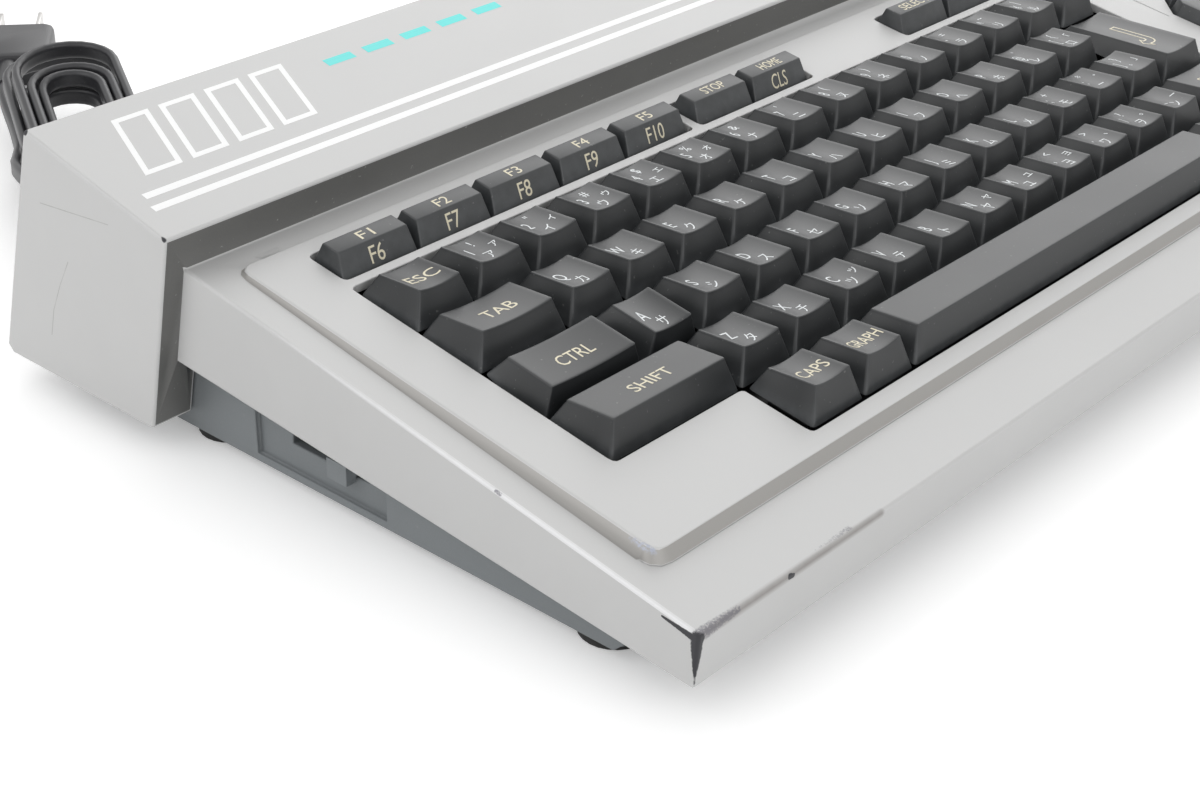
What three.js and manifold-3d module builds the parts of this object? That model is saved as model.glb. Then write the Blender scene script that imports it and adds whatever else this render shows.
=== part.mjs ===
import * as THREE from 'three';
import { mergeVertices } from 'three/addons/utils/BufferGeometryUtils.js';
import Module from 'manifold-3d';

// Home computer with a built-in keyboard, a raised rear box and a captive mains lead.
// Millimetres, +X to the user's right, +Y to the back, +Z up, desk at zero.

// Keyboard
const keyPitch = 19.05;
const keySlope = THREE.MathUtils.degToRad(9.4);
const keyPlaneLeftX = -171;
const keyPlaneFrontY = 26.7;
const keyPlaneFrontZ = 36.3;
const keyTopSideInset = 3.275;
const keyBaseSideInset = 0.43;
const keyTopDepth = 12.9;
const keyTopFall = 2.7;
const keyBaseForward = 3.4;
const keyBaseDepth = 18;
const keySkirtDrop = 8;
const keyDishSag = 0.85;
const keyDishMargin = 0.25;
const keyWall = 1.3;
const keyCrown = 1.9;
const keyRowLift = [0.2, 0.1, -0.3, -0.5, 0.5];
const keyRowShift = [-0.3, -0.2, 0, 0.4, 0];
const keyTravel = 3.5;
const tallKeyFallShare = 0.75;
const longKeyUnits = 4;
const looseKeyLean = THREE.MathUtils.degToRad(12.5);
const looseKeySink = 0.6;
const looseKeyPivotZ = -9;

// Bar keys of the top row
const barKeyPitch = 24.1;
const barKeyGap = 0.7;
const barKeyLeft = -3.1;
const barKeyFrontY = 95.2;
const barKeyBaseDepth = 11.2;
const barKeyTopFrontY = 99.4;
const barKeyTopDepth = 5.2;
const barKeyTopZ = -2;
const barKeyBaseZ = -9;
const barKeySideTaper = 1.2;
const barStopOffset = 123.9;
const barSelectOffset = 216.8;
const barKeyTravel = 2.5;

// Cursor keys
const cursorCentreX = 324.2;
const cursorCentreY = 43.4;
const cursorOpeningFlats = 46.4;
const cursorOpeningChamfer = 10.3;
const cursorKeyClearance = 0.7;
const cursorKeyGap = 1.1;
const cursorKeyTaper = 1.5;
const cursorKeyTopZ = -2.6;
const cursorHub = 5;

// Stems, switch housings and the plate that carries them
const stemWidth = 4.4;
const stemEndZ = -13;
const guideClearance = 0.3;
const housingWidth = 11;
const housingTopZ = -10.2;
const housingBottomZ = -18.2;
const housingFloor = 1.2;
const plateTopZ = -12.9;
const plateThickness = 1.6;
const plateLeft = -16;
const plateRight = 359;
const plateFront = -7.5;
const plateRear = 109;
const plateBossInset = 5;
const plateBossFrontY = 8;
const plateBossRearY = 84;
const barHousingDepth = 8;
const barHousingTopZ = -11.9;

// Openings of the deck, in key units and millimetres
const openingMargin = 1.35;
const openingFrontMargin = 1.7;
const openingRearMargin = 1.2;
const openingCorner = 1.6;
const lowerRowMargin = 2.6;
const barOpeningMargin = 0.6;
const lowerRowStartUnits = 2.25;
const lowerRowEndUnits = 13.25;
const blockUnits = 15;

// Raised frame round the keys
const frameTopZ = -6;
const frameLeft = -19;
const frameFront = -9.8;
const frameRear = 111.8;
const frameRightMargin = 14.5;
const frameStepWidth = 2.2;
const frameStepDropShare = 1.3;
const frameCorner = 3;
const grooveX = 298;
const grooveWidth = 0.5;
const grooveDepth = 0.4;

// Outer case, seen from the side: y from the front edge, z from the desk
const deckHalfWidth = 199;
const boxHalfWidth = 205;
const deckTopFrontZ = 22.6;
const deckFrontFootY = 0.9;
const deckFrontFootZ = 9.5;
const deckSlope = THREE.MathUtils.degToRad(10.2);
const deckUnderSlope = THREE.MathUtils.degToRad(5.4);
const deckHiddenRearY = 172;
const boxFootZ = 7.5;
const boxFrontFootY = 154.8;
const boxRearFootY = 210;
const boxTopFrontY = 144.1;
const boxTopFrontZ = 58.3;
const boxTopRearY = 192.6;
const boxTopRearZ = 69.9;
const boxFootCorner = 2;
const caseWall = 2.5;
const ventCount = 16;
const ventFirstX = -180;
const ventPitch = 7;
const ventWidth = 3;
const ventLowZ = 48;
const ventHighZ = 61;

// Cartridge well in the box
const cartridgeX = 110;
const cartridgeY = 172;
const cartridgeWidth = 112;
const cartridgeDepth = 20;
const cartridgeWellWall = 2;
const cartridgeWellFootZ = 34;
const flapThickness = 1.6;
const flapClearance = 0.4;
const flapPinRadius = 1.2;
const flapPinReach = 0.8;
const connectorWidth = 92;
const connectorDepth = 10;
const connectorTopZ = 23;
const connectorSlotWidth = 2.4;

// Lower case
const tubHalfWidth = 193;
const tubFrontY = 20;
const tubFrontBevel = 6;
const tubFootZ = 3;
const tubWall = 2.5;
const tubRiseInCase = 4;
const panelY = 196;
const panelTopZ = 44;
const bottomVentFirstX = -90;
const bottomVentFrontY = 96;
const bottomVentRearY = 140;
const windowLeft = -190;
const windowRight = 182;
const windowTopZ = 41.5;
const tubCaseClearance = 0.4;

// Feet
const footRadius = 8;
const footHeight = 3.9;
const footSeatDepth = 1.2;
const footSeatClearance = 0.3;
const footInset = 9.5;
const footFrontY = 33.6;
const footRearY = 152.8;

// Power switch in the left wall
const switchRecessFrontY = 90.7;
const switchRecessRearY = 132.7;
const switchRecessFootZ = 5;
const switchRecessDepth = 1.6;
const switchSlotFrontY = 97.4;
const switchSlotRearY = 122;
const switchSlotFootZ = 11.2;
const switchSlotHeight = 4.4;
const leverFrontY = 101;
const leverLength = 6.3;
const leverReach = 3.4;
const leverCapOverlap = 1.4;
const leverTravel = 7;
const leverShutterThickness = 1.2;
const switchBodyDepth = 11;
const switchBodyLength = 34;
const switchBodyHeight = 14;

// Inside
const boardZ = 9;
const boardThickness = 1.6;
const boardLeft = -100;
const boardRight = 172;
const boardFrontY = 72;
const boardRearY = 190;
const postRadius = 3.5;
const postClearance = 1;
const postSpreadX = 180;
const postFrontY = 50;
const postRearY = 142;
const postMeetZ = 14;
const seatGap = 0.3;
const chipHeight = 4;
const largeChips = { count: 3, firstX: -40, pitch: 62, y: 120, length: 48, width: 14 };
const smallChips = { count: 6, firstX: -60, pitch: 30, y: 92, length: 20, width: 8 };
const transformerX = -138;
const transformerY = 168;
const coreWidth = 48;
const coreDepth = 36;
const coreHeight = 38;
const coilWidth = 34;
const coilDepth = 48;
const coilHeight = 30;

// Rear sockets
const jackRadius = 4.1;
const jackBodyWidth = 11;
const jackBodyDepth = 14;
const jackReach = 7;
const jackZ = 22;
const jackBore = 1.6;
const jackRfX = -60;
const jackVideoX = -22;
const jackAudioX = 2;
const jacks = [
  { name: 'jack_rf', x: jackRfX }, { name: 'jack_video', x: jackVideoX }, { name: 'jack_audio', x: jackAudioX },
];
const dinRadius = 8;
const dinBore = 6.6;
const dinBoreDepth = 3.6;
const dinX = 44;
const dinBodyDepth = 11;
const printerX = 110;
const printerWidth = 47;
const printerHeight = 12;
const printerWall = 1.4;
const printerTongue = 4;
const printerReach = 6;
const printerBodyDepth = 10;

// Joystick sockets in the right wall
const stickY = 178;
const stickZs = [22, 42];
const stickLength = 17;
const stickHeight = 9;
const stickWall = 0.9;
const stickSeatDepth = 8;
const stickBackDepth = 1.2;
const stickFlangeLength = 31;
const stickFlangeHeight = 12.6;
const stickFlangeThickness = 2;
const stickSlant = 1.4;

// Mains lead: a flat twin cord, laid on edge
const cordHalfThickness = 1.35;
const cordHalfHeight = 2.7;
const cordEndGap = 0.3;
const cordRunIn = 6;
const ovalSides = 8;
const cordToPlug = [
  new THREE.Vector3(-142.9, 293.4, 10.4),
  new THREE.Vector3(-134.9, 305, 7.2),
  new THREE.Vector3(-126, 317.3, 4.2),
  new THREE.Vector3(-116.6, 333.1, 3.4),
];
const reliefX = -172;
const reliefZ = 18;
const reliefReach = 26;
const reliefRadius = 5.4;
const reliefTipRadius = 3.9;
const reliefFlange = 8;
const hankCentre = new THREE.Vector3(-119.8, 291.9, 10.2);
const hankHeading = THREE.MathUtils.degToRad(61.9);
const hankTilt = THREE.MathUtils.degToRad(6);
const hankStraight = 97;
const hankOuterRadius = 16.8;
const hankPitch = 3.05;
const hankGather = 24;
const hankGatherTurns = 2.2;
const hankLayerPitch = 6.2;
const hankTurns = 6;
const hankTurnsPerLayer = 3;
const hankStepsPerTurn = 24;
const plugFront = new THREE.Vector3(-73.2, 391.8, 5.85);
const plugHeading = THREE.MathUtils.degToRad(49.7);
const plugWidth = 25;
const plugLength = 30;
const plugHeight = 11;
const plugTailLength = 15;
const plugTailRadius = 4.4;
const plugTailTipShare = 0.7;
const plugCorner = 4;
const bladeSpacing = 12.7;
const bladeLength = 17;
const bladeWidth = 6.3;
const bladeThickness = 1.5;

// Tools of the model
const cutOverrun = 2;
const weldDistance = 0.0002;
const nearlyNothing = 1e-9;
const roundSegments = 24;
const dishSegments = 56;
const cornerSegments = 3;

const wasm = await Module();
wasm.setup();

const keyFrame = new THREE.Matrix4()
  .makeRotationX(keySlope)
  .setPosition(keyPlaneLeftX, keyPlaneFrontY, keyPlaneFrontZ);

function toSolid(geometry) {
  const plain = new THREE.BufferGeometry();
  plain.setAttribute('position', geometry.getAttribute('position').clone());
  if (geometry.index) plain.setIndex(geometry.index.clone());
  const merged = mergeVertices(plain, weldDistance);
  return new wasm.Manifold(new wasm.Mesh({
    numProp: 3,
    vertProperties: new Float32Array(merged.getAttribute('position').array),
    triVerts: Uint32Array.from(merged.index.array),
  }));
}

function toGeometry(solid) {
  const mesh = solid.getMesh();
  const geometry = new THREE.BufferGeometry();
  geometry.setAttribute('position', new THREE.BufferAttribute(mesh.vertProperties, 3));
  geometry.setIndex(new THREE.BufferAttribute(mesh.triVerts, 1));
  return geometry;
}

function join(solids) {
  return solids.reduce((whole, solid) => whole.add(solid));
}

function cut(solid, cutters) {
  return cutters.reduce((rest, cutter) => rest.subtract(cutter), solid);
}

// A block from its lowest corner to its highest.
function block(x0, x1, y0, y1, z0, z1) {
  const geometry = new THREE.BoxGeometry(x1 - x0, y1 - y0, z1 - z0);
  geometry.translate((x0 + x1) / 2, (y0 + y1) / 2, (z0 + z1) / 2);
  return toSolid(geometry);
}

function rounded(points, radius) {
  const shape = new THREE.Shape();
  points.forEach((point, i) => {
    const before = points[(i + points.length - 1) % points.length];
    const after = points[(i + 1) % points.length];
    const entry = point.clone().lerp(before, radius / point.distanceTo(before));
    const exit = point.clone().lerp(after, radius / point.distanceTo(after));
    if (i === 0) shape.moveTo(entry.x, entry.y);
    else shape.lineTo(entry.x, entry.y);
    shape.quadraticCurveTo(point.x, point.y, exit.x, exit.y);
  });
  shape.closePath();
  return shape;
}

function outline(pairs) {
  return pairs.map(([x, y]) => new THREE.Vector2(x, y));
}

function rectangle(x0, x1, y0, y1) {
  return outline([[x0, y0], [x1, y0], [x1, y1], [x0, y1]]);
}

// An outline in plan, raised from z0 to z1.
function prism(shape, z0, z1) {
  const geometry = new THREE.ExtrudeGeometry(shape, {
    depth: z1 - z0, bevelEnabled: false, curveSegments: cornerSegments,
  });
  geometry.translate(0, 0, z0);
  return toSolid(geometry);
}

// An outline seen from the side, as y and z, run from x0 to x1.
function sideProfile(points, x0, x1) {
  const geometry = new THREE.ExtrudeGeometry(new THREE.Shape(points), {
    depth: x1 - x0, bevelEnabled: false,
  });
  const turn = new THREE.Matrix4().makeBasis(
    new THREE.Vector3(0, 1, 0), new THREE.Vector3(0, 0, 1), new THREE.Vector3(1, 0, 0),
  );
  geometry.applyMatrix4(turn);
  geometry.translate(x0, 0, 0);
  return toSolid(geometry);
}

// A closed loft between two outlines with the same number of points.
function loft(lower, upper) {
  const count = lower.length;
  const positions = [...lower, ...upper].flatMap((point) => [point.x, point.y, point.z]);
  const index = [];
  for (let i = 0; i < count; i += 1) {
    const next = (i + 1) % count;
    index.push(i, next, count + next, i, count + next, count + i);
  }
  const plan = lower.map((point) => new THREE.Vector2(point.x, point.y));
  THREE.ShapeUtils.triangulateShape(plan, []).forEach(([a, b, c]) => {
    index.push(a, c, b, count + a, count + b, count + c);
  });
  const geometry = new THREE.BufferGeometry();
  geometry.setAttribute('position', new THREE.Float32BufferAttribute(positions, 3));
  geometry.setIndex(index);
  return toSolid(geometry);
}

function level(points, z) {
  return points.map((point) => new THREE.Vector3(point.x, point.y, z));
}

function cylinderAlong(axis, radius, length, centre, segments = roundSegments) {
  const geometry = new THREE.CylinderGeometry(radius, radius, length, segments);
  const turn = new THREE.Quaternion().setFromUnitVectors(new THREE.Vector3(0, 1, 0), axis);
  geometry.applyQuaternion(turn);
  geometry.translate(centre.x, centre.y, centre.z);
  return toSolid(geometry);
}

const alongX = new THREE.Vector3(1, 0, 0);
const alongY = new THREE.Vector3(0, 1, 0);
const alongZ = new THREE.Vector3(0, 0, 1);

function inKeyFrame(solid) {
  return solid.transform(keyFrame.elements);
}

// Keys

function keyPlace(units, row) {
  const y = (keyRowLift.length - row) * keyPitch + keyRowShift[row - 1];
  return { x: units * keyPitch, y, lift: keyRowLift[row - 1] };
}

function topWidth(units) {
  return units * keyPitch - 2 * keyTopSideInset;
}

// How steeply the top falls to the rear; a key two rows deep falls less steeply.
function topFallRate(rows) {
  return keyTopFall / keyTopDepth * (rows > 1 ? tallKeyFallShare : 1);
}

function keyBlockSolid(width, rows, inset, crown) {
  const taper = keyTopSideInset - keyBaseSideInset;
  const reach = (rows - 1) * keyPitch;
  const fall = topFallRate(rows) * (reach + keyTopDepth);
  const base = rectangle(
    -taper + inset, width + taper - inset,
    -keyBaseForward + inset, -keyBaseForward + keyBaseDepth + reach - inset,
  );
  const top = rectangle(inset, width - inset, inset, keyTopDepth + reach - inset);
  const lower = level(base, -keySkirtDrop - (inset > 0 ? cutOverrun : 0));
  const upper = level(top, -crown);
  upper[2].z -= fall;
  upper[3].z -= fall;
  return loft(lower, upper);
}

function keyDish(width, rows) {
  const chord = width - 2 * keyDishMargin;
  const radius = chord ** 2 / (8 * keyDishSag) + keyDishSag / 2;
  const reach = (rows - 1) * keyPitch + keyTopDepth;
  const fall = topFallRate(rows) * reach;
  const slope = new THREE.Vector3(0, reach, -fall).normalize();
  const up = new THREE.Vector3(0, fall, reach).normalize();
  const centre = new THREE.Vector3(width / 2, reach / 2, -fall / 2).addScaledVector(up, radius - keyDishSag);
  return cylinderAlong(slope, radius, 2 * reach, centre, Math.round(dishSegments * radius / chord / 2));
}

// A cap that sits loose on its stem: its front leans down.
function leanedCap(shell, centreY) {
  const lean = new THREE.Matrix4()
    .makeTranslation(0, centreY, looseKeyPivotZ - looseKeySink)
    .multiply(new THREE.Matrix4().makeRotationX(looseKeyLean))
    .multiply(new THREE.Matrix4().makeTranslation(0, -centreY, -looseKeyPivotZ));
  return shell.transform(lean.elements);
}

function stem(centreX, centreY, topZ) {
  const half = stemWidth / 2;
  return block(centreX - half, centreX + half, centreY - half, centreY + half, stemEndZ, topZ);
}

function stemPlaces(width, rows) {
  const y = (rows - 1) * keyPitch / 2 - keyBaseForward + keyBaseDepth / 2;
  const spread = width > longKeyUnits * keyPitch ? width / 2 - keyPitch : 0;
  if (spread === 0) return [{ x: width / 2, y }];
  return [-spread, 0, spread].map((offset) => ({ x: width / 2 + offset, y }));
}

function keySolid(key) {
  const width = topWidth(key.units);
  const rows = key.rows ?? 1;
  const outer = keyBlockSolid(width, rows, 0, 0);
  const cavity = keyBlockSolid(width, rows, keyWall, keyCrown + keyDishSag);
  const shell = cut(outer, key.flat ? [cavity] : [keyDish(width, rows), cavity]);
  const depth = keyDishSag + (key.loose ? keyCrown : keyCrown / 2);
  const places = stemPlaces(width, rows);
  const posts = places.map(({ x, y }) => stem(x, y, -depth - topFallRate(rows) * y));
  return join([key.loose ? leanedCap(shell, places[0].y) : shell, ...posts]);
}

const digitNames = ['1', '2', '3', '4', '5', '6', '7', '8', '9', '0'];
const signNames = ['minus', 'caret', 'yen'];
const upperLetters = ['Q', 'W', 'E', 'R', 'T', 'Y', 'U', 'I', 'O', 'P', 'at', 'bracket_left'];
const homeLetters = ['A', 'S', 'D', 'F', 'G', 'H', 'J', 'K', 'L', 'semicolon', 'colon', 'bracket_right'];
const lowerLetters = ['Z', 'X', 'C', 'V', 'B', 'N', 'M', 'comma', 'period', 'slash', 'underscore'];

function runOfKeys(names, row, start) {
  return names.map((name, i) => ({ name: `key_${name}`, row, at: start + i, units: 1 }));
}

const movingKeys = [
  { name: 'key_esc', row: 1, at: 0, units: 1 },
  ...runOfKeys(digitNames, 1, 1),
  { name: 'key_backspace', row: 1, at: 14, units: 1 },
  { name: 'key_tab', row: 2, at: 0, units: 1.5 },
  { name: 'key_return', row: 3, at: 13.75, units: 1.25, rows: 2 },
  { name: 'key_ctrl', row: 3, at: 0, units: 1.75, loose: true },
  { name: 'key_shift_left', row: 4, at: 0, units: 2.25, flat: true },
  { name: 'key_shift_right', row: 4, at: 13.25, units: 1.75 },
  { name: 'key_caps', row: 5, at: 2.25, units: 1 },
  { name: 'key_graph', row: 5, at: 3.25, units: 1 },
  { name: 'key_space', row: 5, at: 4.25, units: 8, flat: true },
  { name: 'key_kana', row: 5, at: 12.25, units: 1 },
];

const letterKeys = [
  ...runOfKeys(signNames, 1, 11),
  ...runOfKeys(upperLetters, 2, 1.5),
  ...runOfKeys(homeLetters, 3, 1.75).map((key) => ({ ...key, loose: key.name === 'key_A' })),
  ...runOfKeys(lowerLetters, 4, 2.25),
];

// Bar keys of the top row

const barKeys = [
  ...['F1', 'F2', 'F3', 'F4', 'F5'].map((name, i) => ({ name: `key_${name}`, offset: i * barKeyPitch })),
  ...['stop', 'home'].map((name, i) => ({ name: `key_${name}`, offset: barStopOffset + i * barKeyPitch })),
  ...['select', 'insert', 'delete'].map((name, i) => (
    { name: `key_${name}`, offset: barSelectOffset + i * barKeyPitch })),
];

function barKeySolid() {
  const width = barKeyPitch - barKeyGap;
  const base = rectangle(0, width, barKeyFrontY, barKeyFrontY + barKeyBaseDepth);
  const top = rectangle(
    barKeySideTaper, width - barKeySideTaper, barKeyTopFrontY, barKeyTopFrontY + barKeyTopDepth,
  );
  const cap = loft(level(base, barKeyBaseZ), level(top, barKeyTopZ));
  return cap.add(stem(width / 2, barKeyFrontY + barKeyBaseDepth / 2, barKeyTopZ - keyWall));
}

// Cursor keys: four wedges of an octagon round a small hub

function octagon(flats, chamfer) {
  const half = flats / 2;
  const inner = half - chamfer;
  return outline([
    [-inner, -half], [inner, -half], [half, -inner], [half, inner],
    [inner, half], [-inner, half], [-half, inner], [-half, -inner],
  ]);
}

const cursorKeys = ['key_right', 'key_up', 'key_left', 'key_down'];

// One wedge points along +X, between the grooves on the two diagonals; the others are turned copies.
function cursorWedge(shrink) {
  const margin = cursorKeyClearance + shrink;
  const half = cursorOpeningFlats / 2;
  const side = half - margin;
  const chamfer = 2 * half - cursorOpeningChamfer - margin * Math.SQRT2;
  const groove = (cursorKeyGap / 2 + shrink) * Math.SQRT2;
  const tip = cursorHub + shrink;
  const upper = [
    [side, chamfer - side], [(chamfer + groove) / 2, (chamfer - groove) / 2], [tip, tip - groove],
  ];
  const lower = upper.map(([x, y]) => [x, -y]).reverse();
  return outline([...lower, ...upper]);
}

function cursorKeySolid(turn) {
  const lower = level(cursorWedge(0), barKeyBaseZ);
  const upper = level(cursorWedge(cursorKeyTaper), cursorKeyTopZ);
  const cap = loft(lower, upper).add(stem(cursorStemReach(), 0, cursorKeyTopZ - keyWall));
  const degrees = turn * 90;
  return cap.rotate([0, 0, degrees]).translate([cursorCentreX, cursorCentreY, 0]);
}

function cursorStemReach() {
  return (cursorHub + cursorOpeningFlats / 2) / 2 + stemWidth / 2;
}

// The plate with a switch housing under every key

function housing(x, y, depth = housingWidth, topZ = housingTopZ) {
  const halfX = housingWidth / 2;
  const halfY = depth / 2;
  return block(x - halfX, x + halfX, y - halfY, y + halfY, housingBottomZ, topZ);
}

function stemHole(x, y) {
  const half = stemWidth / 2 + guideClearance;
  return block(x - half, x + half, y - half, y + half, housingBottomZ + housingFloor, housingTopZ + cutOverrun);
}

function keyStems(key) {
  const place = keyPlace(key.at, key.row);
  return stemPlaces(topWidth(key.units), key.rows ?? 1).map(({ x, y }) => ({ x: place.x + x, y: place.y + y }));
}

function barStem(key) {
  return {
    x: barKeyLeft + key.offset + (barKeyPitch - barKeyGap) / 2,
    y: barKeyFrontY + barKeyBaseDepth / 2,
  };
}

function cursorStem(turn) {
  const angle = turn * Math.PI / 2;
  return {
    x: cursorCentreX + cursorStemReach() * Math.cos(angle),
    y: cursorCentreY + cursorStemReach() * Math.sin(angle),
  };
}

function keyPlateSolid() {
  const plate = block(plateLeft, plateRight, plateFront, plateRear, plateTopZ - plateThickness, plateTopZ);
  const mains = [...movingKeys, ...letterKeys].flatMap(keyStems);
  const moving = movingKeys.flatMap(keyStems);
  const bars = barKeys.map(barStem);
  const cursors = cursorKeys.map((name, turn) => cursorStem(turn));
  const housings = [
    ...mains.map(({ x, y }) => housing(x, y)),
    ...[...bars, ...cursors].map(({ x, y }) => housing(x, y, barHousingDepth, barHousingTopZ)),
  ];
  const holes = [...moving, ...bars, ...cursors].map(({ x, y }) => stemHole(x, y));
  const passages = postPlaces().map(({ x, y }) => postPassage(x, y));
  const letters = letterKeys.map((key) => {
    const place = keyPlace(key.at, key.row);
    return keySolid(key).translate([place.x, place.y, place.lift]);
  });
  return join([cut(join([plate, ...housings]), [...holes, ...passages]), ...letters]);
}

// The hole that lets a post of the case through the plate.
function postPassage(x, y) {
  const radius = postRadius + postClearance;
  const geometry = new THREE.CylinderGeometry(radius, radius, deckHiddenRearY, roundSegments);
  geometry.rotateX(Math.PI / 2);
  geometry.translate(x, y, 0);
  geometry.applyMatrix4(keyFrame.clone().invert());
  return toSolid(geometry);
}

// Upper case

function deckTopZ(y) {
  return deckTopFrontZ + y * Math.tan(deckSlope);
}

// Height of the raised frame's top plane over a point of the desk.
function framePlaneZ(y) {
  return keyPlaneFrontZ + (y - keyPlaneFrontY) * Math.tan(keySlope) + frameTopZ / Math.cos(keySlope);
}

function deckUnderZ(y) {
  return deckFrontFootZ + (y - deckFrontFootY) * Math.tan(deckUnderSlope);
}

function deckProfile() {
  return outline([
    [0, deckTopFrontZ], [deckFrontFootY, deckFrontFootZ],
    [deckHiddenRearY, deckUnderZ(deckHiddenRearY)], [deckHiddenRearY, deckTopZ(deckHiddenRearY)],
  ]);
}

function boxProfile(inset) {
  const frontLean = (boxFrontFootY - boxTopFrontY) / (boxTopFrontZ - boxFootZ);
  const rearLean = (boxRearFootY - boxTopRearY) / (boxTopRearZ - boxFootZ);
  const topSlope = (boxTopRearZ - boxTopFrontZ) / (boxTopRearY - boxTopFrontY);
  const footZ = inset > 0 ? boxFootZ - cutOverrun : boxFootZ;
  const frontAt = (z) => boxFrontFootY - (z - boxFootZ) * frontLean + inset;
  const rearAt = (z) => boxRearFootY - (z - boxFootZ) * rearLean - inset;
  const frontTopZ = boxTopFrontZ - inset;
  const rearTopZ = boxTopFrontZ + (boxTopRearY - boxTopFrontY) * topSlope - inset;
  const points = [[frontAt(footZ), footZ], [rearAt(footZ), footZ], [rearAt(rearTopZ), rearTopZ], [frontAt(frontTopZ), frontTopZ]];
  if (inset === 0) points.splice(1, 1, [rearAt(footZ) - boxFootCorner, footZ], [rearAt(footZ), footZ + boxFootCorner]);
  return outline(points);
}

function frameRight() {
  return cursorCentreX + cursorOpeningFlats / 2 + frameRightMargin;
}

// The raised frame, from its own top plane down into the deck.
function frameSolid() {
  const right = frameRight();
  const step = frameStepWidth;
  const upper = rounded(rectangle(frameLeft, right, frameFront, frameRear), frameCorner);
  const lower = rounded(
    rectangle(frameLeft - step, right + step, frameFront - step, frameRear + step), frameCorner + step,
  );
  const drop = frameTopZ - frameStepDrop();
  const flare = loft(level(lower.getPoints(cornerSegments).slice(0, -1), drop),
    level(upper.getPoints(cornerSegments).slice(0, -1), frameTopZ));
  return inKeyFrame(flare);
}

// How far the step's slanted face runs down; its foot is buried in the deck.
function frameStepDrop() {
  return frameStepWidth * frameStepDropShare;
}

function frameUnderCut() {
  const inset = caseWall + frameStepWidth;
  const shape = new THREE.Shape(rectangle(
    frameLeft + inset, frameRight() - inset, frameFront + inset, frameRear - inset,
  ));
  return inKeyFrame(prism(shape, plateTopZ - plateThickness - cutOverrun, frameTopZ - caseWall));
}

function keyOpening() {
  const left = -keyTopSideInset - openingMargin;
  const right = blockUnits * keyPitch - keyTopSideInset + openingMargin;
  const lowerLeft = lowerRowStartUnits * keyPitch - keyTopSideInset - lowerRowMargin;
  const lowerRight = lowerRowEndUnits * keyPitch - keyTopSideInset + lowerRowMargin;
  const front = -keyBaseForward - openingFrontMargin;
  const shoulder = keyPitch + front;
  const rear = (keyRowLift.length - 1) * keyPitch - keyBaseForward + keyBaseDepth + openingRearMargin;
  return rounded(outline([
    [lowerLeft, front], [lowerRight, front], [lowerRight, shoulder], [right, shoulder],
    [right, rear], [left, rear], [left, shoulder], [lowerLeft, shoulder],
  ]), openingCorner);
}

function barOpening(offset, count) {
  const left = barKeyLeft + offset - barOpeningMargin;
  const right = barKeyLeft + offset + count * barKeyPitch - barKeyGap + barOpeningMargin;
  const front = barKeyFrontY - barOpeningMargin;
  const rear = barKeyFrontY + barKeyBaseDepth + barOpeningMargin;
  return rounded(rectangle(left, right, front, rear), openingCorner);
}

function deckOpenings() {
  const cursor = new THREE.Shape(octagon(cursorOpeningFlats, cursorOpeningChamfer)
    .map((point) => point.add(new THREE.Vector2(cursorCentreX, cursorCentreY))));
  const shapes = [
    keyOpening(), cursor,
    barOpening(0, 5), barOpening(barStopOffset, 2), barOpening(barSelectOffset, 3),
  ];
  const low = plateTopZ - plateThickness;
  return shapes.map((shape) => inKeyFrame(prism(shape, low, frameTopZ + cutOverrun)));
}

function grooveCut() {
  const front = cursorCentreY + cursorOpeningFlats / 2 - cursorOpeningChamfer;
  return inKeyFrame(block(
    grooveX, grooveX + grooveWidth, front, frameRear + cutOverrun, frameTopZ - grooveDepth, frameTopZ + cutOverrun,
  ));
}

// The room inside the deck, up to the box's front wall.
function deckRoom() {
  const rearY = boxFrontFootY;
  const lean = (boxFrontFootY - boxTopFrontY) / (boxTopFrontZ - boxFootZ);
  const ceiling = (y) => deckTopZ(y) - caseWall;
  const wallY = (z) => boxFrontFootY - (z - boxFootZ) * lean;
  const topZ = ceiling(rearY);
  const profile = outline([
    [caseWall, 0], [wallY(0), 0], [wallY(topZ), topZ], [caseWall, ceiling(caseWall)],
  ]);
  return sideProfile(profile, -deckHalfWidth + caseWall, deckHalfWidth - caseWall);
}

// The way through the box's front wall, as wide as the lower case.
function tubPassage() {
  const half = tubHalfWidth + tubCaseClearance;
  const profile = outline([
    [boxTopFrontY - cutOverrun, 0], [deckHiddenRearY, 0],
    [deckHiddenRearY, deckTopZ(boxTopFrontY) - caseWall], [boxTopFrontY - cutOverrun, deckTopZ(boxTopFrontY) - caseWall],
  ]);
  return sideProfile(profile, -half, half);
}

function boxRoom() {
  return sideProfile(boxProfile(caseWall), -boxHalfWidth + caseWall, boxHalfWidth - caseWall);
}

function wellBlock(margin, z0, z1) {
  return block(
    cartridgeX - cartridgeWidth / 2 - margin, cartridgeX + cartridgeWidth / 2 + margin,
    cartridgeY - cartridgeDepth / 2 - margin, cartridgeY + cartridgeDepth / 2 + margin, z0, z1,
  );
}

function windowReturns() {
  return block(
    windowLeft - caseWall, windowRight + caseWall, panelY + seatGap, boxRearFootY, boxFootZ, windowTopZ + caseWall,
  );
}

function windowCut() {
  return block(windowLeft, windowRight, panelY - cutOverrun, boxRearFootY + cutOverrun, 0, windowTopZ);
}

function postPlaces() {
  return [
    { x: -postSpreadX, y: postFrontY }, { x: postSpreadX, y: postFrontY },
    { x: -postSpreadX, y: postRearY }, { x: postSpreadX, y: postRearY },
  ];
}

function upperPosts() {
  return postPlaces().map(({ x, y }) => {
    const top = Math.max(deckTopZ(y), framePlaneZ(y)) - caseWall / 2;
    const centre = new THREE.Vector3(x, y, (top + postMeetZ) / 2);
    return cylinderAlong(alongZ, postRadius, top - postMeetZ, centre);
  });
}

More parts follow.
